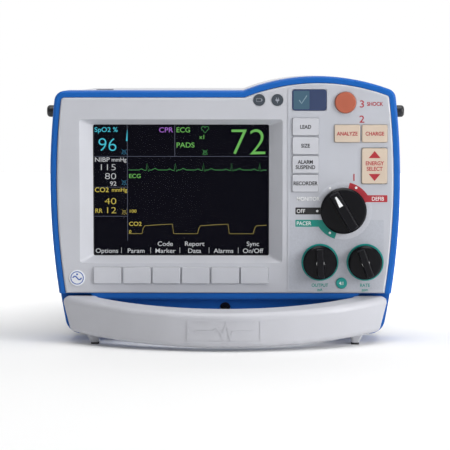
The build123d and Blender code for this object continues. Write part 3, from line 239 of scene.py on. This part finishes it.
LENS_SMOKE = moulded("lamp smoke", (0.055, 0.068, 0.085), 0.22, coat=0.3)
STATUS_NAVY = moulded("status navy", (0.035, 0.055, 0.13), 0.25, coat=0.3)

INK_BLACK = printed("ink black", (0.012, 0.012, 0.014))
INK_WHITE = printed("ink white", (0.86, 0.87, 0.88))
INK_RED = printed("ink red", (0.42, 0.022, 0.035))
INK_TEAL = printed("ink teal", (0.0, 0.27, 0.22))
INK_BLUE = printed("ink blue", (0.02, 0.10, 0.42))
INK_GREY = printed("ink grey", (0.34, 0.36, 0.42))
HALO_GREY = printed("dial halo", (0.545, 0.56, 0.615), 0.38)
ZONE_DARK = printed("zone shade", (0.455, 0.475, 0.53), 0.38)

GREEN_LIGHT = lit("numbers green", (0.22, 0.66, 0.15), 0.85)
CYAN_LIGHT = lit("numbers cyan", (0.10, 0.75, 0.95), 0.85)
YELLOW_LIGHT = lit("numbers yellow", (0.80, 0.66, 0.12), 0.85)
WHITE_LIGHT = lit("letters white", (0.80, 0.82, 0.85), 0.80)
PURPLE_LIGHT = lit("letters purple", (0.50, 0.20, 0.80), 0.85)
TRACE_GREEN = lit("dim green", (0.13, 0.54, 0.16), 0.85)
TRACE_YELLOW = lit("dim yellow", (0.55, 0.45, 0.12), 0.85)
MARK_CYAN = lit("dim cyan", (0.06, 0.28, 0.48), 0.85)
GREY_LIGHT = lit("rules grey", (0.24, 0.26, 0.36), 0.60)
STATUS_LIGHT = lit("status glow", (0.09, 0.17, 0.24), 0.8)
STATUS_MARK = lit("status mark", (0.30, 0.42, 0.50), 0.8)


def finish_nodes():
    """Gives every CAD node its finish."""
    keys = [f"softkey_{n}" for n in range(1, 7)] + ["lead_key", "size_key", "alarm_key", "recorder_key"]
    finishes = {
        PANEL_GREY: ["front_housing"],
        OVERLAY_GREY: ["control_overlay"],
        KEY_GREY: keys,
        HANDLE_GREY: ["front_handle"],
        CASE_GREY: ["rear_housing", "recorder_door", "recorder_mechanism"],
        BLUE: ["blue_frame", "battery_latch"],
        CREAM: ["analyze_key", "charge_key", "energy_rocker"],
        ORANGE: ["shock_button"],
        TEAL: ["ratio_button", "pacer_trim_rings"],
        BLACK: ["mode_knob", "output_knob", "rate_knob"],
        SOFT_BLACK: ["strap_posts", "mode_switch", "pacer_encoders", "speaker", "ac_inlet"],
        CHARCOAL: ["connector_panel", "patient_connectors", "therapy_connector"],
        GRAPHITE: ["recorder_release", "charger_module"],
        BATTERY_GREY: ["battery_pack"],
        WHITE_PLASTIC: ["badge"],
        FOOT_RUBBER: ["rubber_feet"],
        GASKET_RUBBER: ["lcd_gasket"],
        PLATEN_RUBBER: ["platen_roller"],
        SCREW_STEEL: ["case_screws", "handle_screws"],
        SHAFT_STEEL: ["mode_shaft", "output_shaft", "rate_shaft"],
        SHEET_ALUMINIUM: ["chassis_bracket", "power_supply"],
        BRASS: ["ground_post"],
        SLEEVE: ["hv_capacitor"],
        BOARD: ["keypad_board", "main_board"],
        PAPER: ["paper_roll"],
        WINDOW: ["display_window"],
        SCREEN_BLACK: ["lcd_module"],
        LENS_SMOKE: ["indicator_lenses"],
        STATUS_NAVY: ["status_window", "status_lcd"],
        INK_WHITE: ["mode_pointer"],
    }
    for material, names in finishes.items():
        for name in names:
            NODES[name].data.materials.clear()
            NODES[name].data.materials.append(material)


# ---------------------------------------------------------------- flat graphics
def place(piece, material, body):
    bpy.context.scene.collection.objects.link(piece)
    piece.data.materials.append(material)
    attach(piece, body)
    return piece


def lettering(
    name,
    text,
    x,
    z,
    cap,
    y,
    material,
    body="case",
    align="CENTER",
    squeeze=0.9,
    weight=PLAIN,
):
    """Generic lettering that faces the operator. z is the middle of the capitals."""
    curve = bpy.data.curves.new(name, "FONT")
    curve.body = text
    curve.size = cap / FONT_CAP
    curve.align_x = align
    curve.space_character = 1.0
    curve.offset = cap * weight
    curve.extrude = SKIN / 2
    piece = bpy.data.objects.new(name, curve)
    piece.rotation_euler = (math.pi / 2, 0.0, 0.0)
    piece.location = (x, y - SKIN, z - cap / 2)
    piece.scale = (squeeze, 1.0, 1.0)
    return place(piece, material, body)


def flat_shape(name, outline, y, material, body="case", thickness=SKIN):
    """A thin solid plate from an outline of (x, z) points, its front at y minus the thickness."""
    count = len(outline)
    front = [(x, y - thickness, z) for x, z in outline]
    back = [(x, y, z) for x, z in outline]
    faces = [tuple(range(count)), tuple(reversed(range(count, 2 * count)))]
    faces += [(n, n + count, (n + 1) % count + count, (n + 1) % count) for n in range(count)]
    mesh = bpy.data.meshes.new(name)
    mesh.from_pydata(front + back, [], faces)
    mesh.validate()
    return place(bpy.data.objects.new(name, mesh), material, body)


def rectangle(low_x, high_x, low_z, high_z, radius=0.0):
    """Corner points of a rectangle, rounded if a radius is given."""
    steps = 5
    if not radius:
        return [(low_x, low_z), (high_x, low_z), (high_x, high_z), (low_x, high_z)]
    points = []
    corners = (
        (high_x - radius, high_z - radius, 0),
        (low_x + radius, high_z - radius, 90),
        (low_x + radius, low_z + radius, 180),
        (high_x - radius, low_z + radius, 270),
    )
    for corner_x, corner_z, start in corners:
        for step in range(steps + 1):
            angle = math.radians(start + 90 * step / steps)
            points.append((corner_x + radius * math.cos(angle), corner_z + radius * math.sin(angle)))
    return points


def arc_points(x, z, radius, start, end, steps=24):
    """Points on an arc, its angles in degrees anticlockwise from the right."""
    angles = [math.radians(start + (end - start) * n / steps) for n in range(steps + 1)]
    return [(x + radius * math.cos(a), z + radius * math.sin(a)) for a in angles]


def ring_sector(x, z, inner, outer, start, end):
    return arc_points(x, z, outer, start, end) + list(reversed(arc_points(x, z, inner, start, end)))


def disc(x, z, radius):
    return arc_points(x, z, radius, 0, 345, 23)


def stroke(name, points, width, y, material, closed=False):
    """A thin flat line through (x, z) points, on the case."""
    flatness = 0.3  # depth of the line over its width
    curve = bpy.data.curves.new(name, "CURVE")
    curve.dimensions = "3D"
    curve.bevel_depth = width / 2
    curve.bevel_resolution = 1
    spline = curve.splines.new("POLY")
    spline.points.add(len(points) - 1)
    for point, (x, z) in zip(spline.points, points):
        point.co = (x, 0.0, z, 1.0)
    spline.use_cyclic_u = closed
    piece = bpy.data.objects.new(name, curve)
    piece.location = (0.0, y - width * flatness / 2, 0.0)
    piece.scale = (1.0, flatness, 1.0)
    return place(piece, material, "case")


# ---------------------------------------------------------------- the lit screen
# Places on the screen, in mm across from its left edge or down from its top edge.
RULE_START, RULE_END = 0.5, 134.0
BAND_BOTTOM = 24.6
COLUMN_RIGHT = 26.0
RATE_LEFT = 62.4
TRACE_START, TRACE_END = 26.8, 132.8
MARK_LINE = 0.22  # width of a bell's lines


def screen_x(across):
    """Row X of a distance in mm from the screen's left edge."""
    return SCREEN_LEFT + across * MM


def screen_z(down):
    """Row Z of a distance in mm from the screen's top edge."""
    return SCREEN_TOP - down * MM


def screen_text(name, text, across, down, cap, material, align="LEFT", squeeze=0.86):
    x, z = screen_x(across), screen_z(down)
    weight = FINE if cap > LARGE_CAP else PLAIN
    lettering(name, text, x, z, cap * MM, SCREEN_Y, material, "case", align, squeeze, weight)


def screen_line(name, points, material, width=0.4):
    stroke(name, [(screen_x(a), screen_z(d)) for a, d in points], width * MM, SCREEN_Y, material)


def bell(name, across, down, size, material):
    """A crossed-out alarm bell: dome, rim and clapper in outline, under two slanting bars."""
    x, z, s = screen_x(across), screen_z(down), size * MM
    width = MARK_LINE * MM
    outline = arc_points(x, z, 0.25 * s, 0, 180, 10)
    outline += [(x - 0.40 * s, z - 0.35 * s), (x + 0.40 * s, z - 0.35 * s)]
    stroke(name, outline, width, SCREEN_Y, material, closed=True)
    flat_shape(name + "_clapper", disc(x, z - 0.45 * s, 0.07 * s), SCREEN_Y, material)
    for way in (-1, 1):
        bar = [(x - way * 0.45 * s, z - 0.45 * s), (x + way * 0.45 * s, z + 0.45 * s)]
        stroke(f"{name}_cross_{way + 1}", bar, width, SCREEN_Y, material)


def heart(name, across, down, size, material):
    """A heart in outline."""
    x, z, s = screen_x(across), screen_z(down), size * MM
    left = arc_points(x - 0.25 * s, z + 0.15 * s, 0.25 * s, 0, 200, 12)
    right = arc_points(x + 0.25 * s, z + 0.15 * s, 0.25 * s, -20, 180, 12)
    points = right + left[1:] + [(x, z - 0.5 * s)]
    stroke(name, points, 0.28 * MM, SCREEN_Y, material, closed=True)


def vital_signs():
    """The column of numbers on the left and the heart rate at the top."""
    texts = (
        # name, text, across, down, capital height, light, fixed side, squeeze
        ("spo2_label", "SpO2 %", 0.8, 4.0, 3.6, CYAN_LIGHT, "LEFT", 1.08),
        ("spo2_value", "96", 3.2, 15.4, 10.2, CYAN_LIGHT, "LEFT", 1.04),
        ("nibp_label", "NIBP", 0.8, 27.0, 3.4, WHITE_LIGHT, "LEFT", 1.15),
        ("nibp_unit", "mmHg", 13.8, 27.0, 3.0, WHITE_LIGHT, "LEFT", 1.0),
        ("nibp_high", "115", 17.7, 32.8, 4.8, WHITE_LIGHT, "RIGHT", 1.36),
        ("nibp_low", "80", 17.7, 39.7, 4.8, WHITE_LIGHT, "RIGHT", 1.36),
        ("nibp_mean", "92", 17.7, 45.4, 3.3, WHITE_LIGHT, "RIGHT", 1.1),
        ("co2_label", "CO2", 0.8, 50.2, 3.6, YELLOW_LIGHT, "LEFT", 1.05),
        ("co2_unit", "mmHg", 13.8, 50.2, 3.0, YELLOW_LIGHT, "LEFT", 1.04),
        ("co2_value", "40", 17.7, 58.9, 4.9, YELLOW_LIGHT, "RIGHT", 1.36),
        ("breath_label", "RR", 1.0, 66.3, 3.3, YELLOW_LIGHT, "LEFT", 1.0),
        ("breath_value", "12", 17.7, 65.9, 4.8, YELLOW_LIGHT, "RIGHT", 1.36),
        ("cpr_label", "CPR", 50.2, 4.2, 3.8, PURPLE_LIGHT, "LEFT", 1.1),
        ("ecg_label", "ECG", 63.4, 4.2, 3.8, GREEN_LIGHT, "LEFT", 1.04),
        ("gain_label", "x1", 81.2, 9.6, 3.2, GREEN_LIGHT, "LEFT", 1.0),
        ("pads_label", "PADS", 63.4, 15.8, 3.8, GREEN_LIGHT, "LEFT", 1.1),
        ("rate_value", "72", 104.0, 13.1, 20.0, GREEN_LIGHT, "LEFT", 1.02),
    )
    for row in texts:
        screen_text(*row)
    heart("heart_mark", 85.6, 3.8, 5.6, TRACE_GREEN)
    bell("rate_bell", 85.6, 21.3, 4.4, TRACE_GREEN)
    bell("spo2_bell", 23.5, 21.0, 4.4, MARK_CYAN)
    bell("nibp_bell", 23.5, 44.5, 4.4, MARK_CYAN)
    bell("breath_bell", 23.5, 67.2, 4.4, TRACE_YELLOW)
    bar = [(25.0, 12.8), (26.2, 12.8), (26.2, 3.6), (25.7, 6.4)]
    bar = [(screen_x(across), screen_z(down)) for across, down in bar]
    flat_shape("pleth_bar", bar, SCREEN_Y, CYAN_LIGHT, thickness=2 * SKIN)


def screen_rules():
    """Thin rules between the areas of the screen."""
    nibp_bottom, co2_bottom, column_bottom = 48.2, 70.6, 89.5
    rules = {
        "rule_top": [(RULE_START, BAND_BOTTOM), (RULE_END, BAND_BOTTOM)],
        "rule_nibp": [(RULE_START, nibp_bottom), (COLUMN_RIGHT, nibp_bottom)],
        "rule_co2": [(RULE_START, co2_bottom), (COLUMN_RIGHT, co2_bottom)],
        "rule_column": [(COLUMN_RIGHT, RULE_START), (COLUMN_RIGHT, column_bottom)],
        "rule_rate": [(RATE_LEFT, RULE_START), (RATE_LEFT, BAND_BOTTOM)],
    }
    for name, points in rules.items():
        screen_line(name, points, GREY_LIGHT, width=0.3)


def heart_trace():
    """Regular beats along a level line."""
    level, first_beat, beat_gap, beats = 35.0, 41.2, 21.6, 5
    points = [(TRACE_START, level)]
    for beat in range(beats):
        peak = first_beat + beat * beat_gap
        points += [
            (peak - 6.0, level),
            (peak - 4.4, level - 0.9),
            (peak - 2.8, level),
            (peak - 0.9, level + 0.5),
            (peak, level - 5.2),
            (peak + 0.9, level + 1.3),
            (peak + 1.8, level),
            (peak + 3.6, level),
        ]
        if beat < beats - 1:
            points += [(peak + 6.0, level - 1.3), (peak + 8.4, level)]
    points.append((TRACE_END, level))
    screen_line("ecg_trace", points, TRACE_GREEN, width=0.36)
    screen_text("ecg_trace_label", "ECG", 27.0, 39.6, 3.1, GREEN_LIGHT, squeeze=1.1)


def breath_trace():
    """Gas curve: a low line with a raised plateau for each breath out."""
    low, high, first_rise, breath_gap, breaths = 84.0, 76.6, 37.0, 42.8, 3
    points = [(TRACE_START, low)]
    for breath in range(breaths):
        rise = first_rise + breath * breath_gap
        points += [(rise, low), (rise + 1.0, low - 4.2), (rise + 2.4, high + 1.3)]
        if breath < breaths - 1:
            points += [(rise + 12.0, high + 0.6), (rise + 23.4, high), (rise + 24.4, low)]
    points.append((TRACE_END, high + 0.8))
    screen_line("co2_trace", points, TRACE_YELLOW)
    screen_text("co2_trace_high", "100", 27.0, 66.6, 2.3, YELLOW_LIGHT, squeeze=1.2)
    screen_text("co2_trace_label", "CO2", 27.0, 76.4, 3.1, YELLOW_LIGHT, squeeze=1.1)
    screen_text("co2_trace_low", "0", 27.0, 82.4, 2.3, YELLOW_LIGHT, squeeze=1.2)


def softkey_menu():
    """Names above the six soft keys, with short bars between them."""
    names = (
        ("", "Options"),
        ("", "Param"),
        ("Code", "Marker"),
        ("Report", "Data"),
        ("", "Alarms"),
        ("Sync", "On/Off"),
    )
    offset = 1.2  # the names stand this far left of the keys' middles
    upper_line, lower_line, cap, squeeze = 91.7, 97.1, 3.4, 1.1
    for number, (upper, lower) in enumerate(names, 1):
        x = centre(f"softkey_{number}")[0]
        across = (x - SCREEN_LEFT) / MM - offset
        if upper:
            name = f"menu_{number}_upper"
            screen_text(name, upper, across, upper_line, cap, WHITE_LIGHT, "CENTER", squeeze)
        name = f"menu_{number}_lower"
        screen_text(name, lower, across, lower_line, cap, WHITE_LIGHT, "CENTER", squeeze)
    for number in range(1, 6):
        between = (centre(f"softkey_{number}")[0] + centre(f"softkey_{number + 1}")[0]) / 2
        across = (between - SCREEN_LEFT) / MM - offset
        bar = [(across, lower_line - 2.5), (across, lower_line + 1.9)]
        screen_line(f"menu_bar_{number}", bar, WHITE_LIGHT, width=0.3)


# ---------------------------------------------------------------- printing on the panel
def tag_text(name, text, left, middle_z, cap, material, weight=PLAIN):
    lettering(name, text, left, middle_z, cap, OVERLAY_Y - 2 * SKIN, material, align="LEFT", weight=weight)


def mode_markings():
    """Coloured tags, arcs and dots round the mode dial."""
    x, z, inner = MODE_X, MODE_Z, MODE_R - 1.5 * MM
    tag_left, text_left = x - 36.5 * MM, x - 35.6 * MM
    upper_row, off_row, lower_row = z + 9.1 * MM, z - 0.3 * MM, z - 9.7 * MM
    tag_half = 2.65 * MM
    flat_shape("dial_halo", disc(x, z, MODE_R + 4.6 * MM), OVERLAY_Y, HALO_GREY, thickness=SKIN * 0.5)
    flat_shape("defib_arc", ring_sector(x, z, inner, MODE_R + 4.3 * MM, 20, 77.5), OVERLAY_Y, INK_RED)
    flat_shape("pacer_arc", ring_sector(x, z, inner, MODE_R + 5.0 * MM, 205, 253), OVERLAY_Y, INK_TEAL)
    tags = {
        "defib": (x + 16.0 * MM, x + 33.4 * MM, upper_row, INK_RED),
        "off": (tag_left, x - 15.0 * MM, off_row, INK_BLACK),
        "pacer": (tag_left, x - 13.5 * MM, lower_row, INK_TEAL),
    }
    for name, (low_x, high_x, middle_z, ink) in tags.items():
        outline = rectangle(low_x, high_x, middle_z - tag_half, middle_z + tag_half, 0.6 * MM)
        flat_shape(name + "_tag", outline, OVERLAY_Y, ink, thickness=SKIN * 1.4)
    cap = 2.9 * MM
    tag_text("defib_text", "DEFIB", x + 21.4 * MM, upper_row, cap, INK_WHITE)
    tag_text("off_text", "OFF", text_left, off_row, cap, INK_WHITE)
    tag_text("pacer_text", "PACER", text_left, lower_row, cap, INK_WHITE)
    tag_text("monitor_text", "MONITOR", text_left, z + 9.0 * MM, cap, INK_WHITE, BOLD)
    dot_ring, dot_radius = MODE_R + 2.4 * MM, 0.95 * MM
    for name, angle in (("defib", 61), ("monitor", 121), ("off", 181), ("pacer", 239)):
        dot_x = x + dot_ring * math.cos(math.radians(angle))
        dot_z = z + dot_ring * math.sin(math.radians(angle))
        dot = disc(dot_x, dot_z, dot_radius)
        flat_shape(name + "_dot", dot, OVERLAY_Y - SKIN, INK_WHITE, thickness=2 * SKIN)


def panel_zones():
    """Areas of the overlay that are printed a shade darker."""
    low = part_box("control_overlay")[0]
    edge = 1.2 * MM
    pacer_top = MODE_Z - 7.1 * MM
    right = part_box("rate_knob")[1][0]
    flat_shape(
        "pacer_zone",
        rectangle(low[0] + edge, right + edge, low[2] + edge, pacer_top, 1.0 * MM),
        OVERLAY_Y,
        ZONE_DARK,
        thickness=SKIN / 3,
    )


def step_numbers():
    """The numbered steps and the button's name."""
    shock_x, _, shock_z = centre("shock_button")
    charge_z = centre("charge_key")[2]
    step_x = shock_x + 12.5 * MM
    cap = 5.4 * MM
    lettering("step_3", "3", step_x, shock_z - 1.0 * MM, cap, OVERLAY_Y, INK_RED, squeeze=1.1)
    lettering("step_2", "2", step_x, charge_z + 11.0 * MM, cap, OVERLAY_Y, INK_RED, squeeze=1.1)
    step_1_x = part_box("energy_rocker")[0][0] - 3.2 * MM
    step_1_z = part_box("energy_rocker")[0][2] + 4.8 * MM
    lettering("step_1", "1", step_1_x, step_1_z, cap, OVERLAY_Y, INK_RED, squeeze=1.1)
    shock_text_x, shock_text_z = step_x + 9.8 * MM, shock_z - 1.0 * MM
    lettering("shock_text", "SHOCK", shock_text_x, shock_text_z, 2.8 * MM, OVERLAY_Y, INK_RED, weight=BOLD)


def pacer_labels():
    """Names and units below the two pacer knobs, and the ratio on its button."""
    label_drop, label_cap = 17.6 * MM, 2.5 * MM
    unit_drop, unit_cap = 21.0 * MM, 2.1 * MM
    for knob, upper, lower in (("output_knob", "OUTPUT", "mA"), ("rate_knob", "RATE", "ppm")):
        x, _, z = centre(knob)
        lettering(knob + "_label", upper, x, z - label_drop, label_cap, OVERLAY_Y, INK_TEAL, weight=BOLD)
        lettering(knob + "_unit", lower, x, z - unit_drop, unit_cap, OVERLAY_Y, INK_TEAL, weight=BOLD)
    x, _, z = centre("ratio_button")
    y = front_of("ratio_button")
    lettering("ratio_text", "4:1", x, z, 2.4 * MM, y, INK_WHITE, "ratio", weight=BOLD)


def key_labels():
    """Words on the key caps; each rides with its own key."""
    words = {
        "lead_key": ("LEAD",),
        "size_key": ("SIZE",),
        "alarm_key": ("ALARM", "SUSPEND"),
        "recorder_key": ("RECORDER",),
        "analyze_key": ("ANALYZE",),
        "charge_key": ("CHARGE",),
    }
    line_gap, cap = 4.0 * MM, 2.8 * MM
    for key, lines in words.items():
        x, _, z = centre(key)
        cream = key in ("analyze_key", "charge_key")
        ink = INK_RED if cream else INK_BLACK
        for number, line in enumerate(lines):
            line_z = z + line_gap * ((len(lines) - 1) / 2 - number)
            name, y = f"{key}_text_{number}", front_of(key)
            lettering(name, line, x, line_z, cap, y, ink, key + "_cap", weight=BOLD)


def energy_labels():
    """Arrows and words on the energy rocker."""
    x = centre("charge_key")[0]
    z = centre("energy_rocker")[2]
    y = front_of("energy_rocker")
    half, rise, away, cap = 4.5 * MM, 5.4 * MM, 6.0 * MM, 2.9 * MM
    for name, way in (("energy_up", 1), ("energy_down", -1)):
        base = z + way * away
        outline = [(x - half, base), (x + half, base), (x, base + way * rise)]
        if way < 0:
            outline.reverse()
        flat_shape(name, outline, y, INK_RED, "rocker")
    for name, text, up in (("energy_text", "ENERGY", 2.1 * MM), ("select_text", "SELECT", -2.1 * MM)):
        lettering(name, text, x, z + up, cap, y, INK_RED, "rocker", weight=BOLD)


def status_display():
    """The ready mark in the status window."""
    low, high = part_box("status_window")
    edge = 1.1 * MM
    y = low[1]
    divide = (low[0] + high[0]) / 2
    left = rectangle(low[0] + edge, divide, low[2] + edge, high[2] - edge, 0.8 * MM)
    flat_shape("status_left", left, y, STATUS_LIGHT)
    x, z = (low[0] + divide) / 2 + 1.4 * MM, (low[2] + high[2]) / 2
    mark = [(x - 2.6 * MM, z), (x - 0.8 * MM, z - 2.6 * MM), (x + 3.2 * MM, z + 3.4 * MM)]
    stroke("status_check", mark, 0.9 * MM, y - SKIN, STATUS_MARK)


def lamp_marks():
    """Battery and mains plug marks on the two lamps."""
    low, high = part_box("indicator_lenses")
    z = (low[2] + high[2]) / 2
    lamp_r = (high[2] - low[2]) / 2
    y = low[1]
    x = low[0] + lamp_r
    cell = rectangle(x - 2.0 * MM, x + 1.7 * MM, z - 1.2 * MM, z + 1.2 * MM)
    stroke("battery_mark", cell, 0.35 * MM, y, INK_GREY, closed=True)
    tip = rectangle(x + 1.8 * MM, x + 2.4 * MM, z - 0.6 * MM, z + 0.6 * MM)
    flat_shape("battery_mark_tip", tip, y, INK_GREY)
    x = high[0] - lamp_r
    stroke("plug_mark", [(x, z - 2.4 * MM), (x, z - 1.0 * MM)], 0.4 * MM, y, INK_GREY)
    plug = arc_points(x, z + 0.4 * MM, 1.5 * MM, 180, 360, 10)
    flat_shape("plug_mark_body", plug, y, INK_GREY)
    for side in (-1, 1):
        prong = [(x + side * 0.7 * MM, z + 0.4 * MM), (x + side * 0.7 * MM, z + 1.8 * MM)]
        stroke(f"plug_mark_prong_{side + 1}", prong, 0.4 * MM, y, INK_GREY)


def badge_motif():
    """A plain ring, a wave and a dot on the badge."""
    x, _, z = centre("badge")
    y = front_of("badge")
    radius = (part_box("badge")[1][0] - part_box("badge")[0][0]) / 2
    stroke("badge_ring", disc(x, z, radius * 0.78), 0.7 * MM, y, INK_BLUE, closed=True)
    wave = []
    for step in range(-10, 11):
        wave_x = x + radius * 0.055 * step
        wave.append((wave_x, z - radius * 0.22 * math.sin(step * math.pi / 10)))
    stroke("badge_wave", wave, 1.0 * MM, y, INK_BLUE)
    flat_shape("badge_dot", disc(x, z + radius * 0.45, radius * 0.12), y, INK_BLUE)


def rear_labels():
    """Plain names beside the rear sockets, read from behind."""
    panel_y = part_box("connector_panel")[1][1]
    low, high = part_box("patient_connectors")
    below, cap = 3.2 * MM, 3.0 * MM
    near, far = low[0] + 10.5 * MM, high[0] - 9.5 * MM
    upper_row, lower_row = high[2] - 21.0 * MM - below, low[2] - below
    labels = (
        ("ECG", near, upper_row),
        ("SpO2", far, upper_row),
        ("NIBP", near, lower_row),
        ("CO2", far, lower_row),
        ("THERAPY", centre("therapy_connector")[0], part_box("therapy_connector")[0][2] - below),
    )
    for number, (text, x, z) in enumerate(labels):
        name = f"rear_label_{number}"
        piece = lettering(name, text, x, z, cap, panel_y, INK_WHITE)
        piece.rotation_euler = (math.pi / 2, 0.0, math.pi)
        piece.location = (x, panel_y + SKIN, z - cap / 2)


# ---------------------------------------------------------------- studio
def floor_with_painted_glow():
    """White paper sweep with painted light: it glows more and more from under the case to the backdrop,
    which washes out the case's cast shadow behind it.
    """
    material, tree, shader = new_material("floor painted glow", (0.84, 0.84, 0.84), 0.8)
    shader.inputs["Specular IOR Level"].default_value = 0.1
    coords = tree.nodes.new("ShaderNodeTexCoord")
    axes = tree.nodes.new("ShaderNodeSeparateXYZ")
    # painted light: the floor's glow is weak just in front of the case and full from 0.7 m behind it
    glow = tree.nodes.new("ShaderNodeMapRange")
    glow_start, glow_full = -0.05, 0.7  # metres along Y
    glow.inputs["From Min"].default_value = glow_start
    glow.inputs["From Max"].default_value = glow_full
    glow.inputs["To Min"].default_value = 0.05
    glow.inputs["To Max"].default_value = 1.0
    shader.inputs["Emission Color"].default_value = (1.0, 1.0, 1.0, 1.0)
    tree.links.new(coords.outputs["Object"], axes.inputs["Vector"])
    tree.links.new(axes.outputs["Y"], glow.inputs["Value"])
    tree.links.new(glow.outputs["Result"], shader.inputs["Emission Strength"])
    return material


def stage_plane(name, corners, material):
    """A flat surface of the studio, which is not part of the object."""
    mesh = bpy.data.meshes.new(name)
    mesh.from_pydata(corners, [], [(0, 1, 2, 3)])
    mesh.materials.append(material)
    piece = bpy.data.objects.new(name, mesh)
    bpy.context.scene.collection.objects.link(piece)


def floor_and_backdrop():
    reach, back, low, top = 6.0, 2.2, -0.5, 4.0
    ground = [(-reach, -reach, 0), (reach, -reach, 0), (reach, reach, 0), (-reach, reach, 0)]
    stage_plane("floor", ground, floor_with_painted_glow())
    wall = [(-reach, back, low), (reach, back, low), (reach, back, top), (-reach, back, top)]
    stage_plane("backdrop", wall, lit("backdrop white", (1.0, 1.0, 1.0), 1.0))


def area_light(name, place_at, size, power, target):
    data = bpy.data.lights.new(name, "AREA")
    data.shape = "RECTANGLE"
    data.size, data.size_y = size
    data.energy = power
    light = bpy.data.objects.new(name, data)
    bpy.context.scene.collection.objects.link(light)
    light.location = place_at
    aim(light, target)


def aim(thing, target):
    """Turns a camera or light, which look along their own -Z, towards a point."""
    dx, dy, dz = (t - p for t, p in zip(target, thing.location))
    flat = math.hypot(dx, dy)
    thing.rotation_euler = (math.atan2(flat, -dz), 0.0, math.atan2(dy, dx) - math.pi / 2)


def studio():
    scene = bpy.context.scene
    scene.view_settings.view_transform = "Standard"
    world = bpy.data.worlds.new("studio")
    scene.world = world
    world.use_nodes = True
    background = world.node_tree.nodes["Background"]
    background.inputs["Color"].default_value = (1.0, 1.0, 1.0, 1.0)
    background.inputs["Strength"].default_value = 0.24
    middle = centre("blue_frame")
    area_light("key", (1.6, -1.0, 0.6), size=(0.8, 0.9), power=24.0, target=middle)
    area_light("top", (0.1, -0.35, 1.7), size=(1.6, 1.2), power=20.0, target=middle)


def camera():
    """Level product view, from a little above the panel's middle and slightly to the right."""
    data = bpy.data.cameras.new("camera")
    viewer = bpy.data.objects.new("camera", data)
    bpy.context.scene.collection.objects.link(viewer)
    bpy.context.scene.camera = viewer
    panel_y = front_of("front_housing")
    distance, height, aside, aim_height = 1.5, 0.215, 0.016, 0.091
    data.angle = math.radians(13.0)
    viewer.location = (aside, panel_y - distance, height)
    aim(viewer, (0.0, panel_y, aim_height))


camera()
floor_and_backdrop()
studio()
finish_nodes()
vital_signs()
screen_rules()
heart_trace()
breath_trace()
softkey_menu()
mode_markings()
panel_zones()
step_numbers()
pacer_labels()
key_labels()
energy_labels()
status_display()
lamp_marks()
badge_motif()
rear_labels()

bpy.context.view_layer.update()
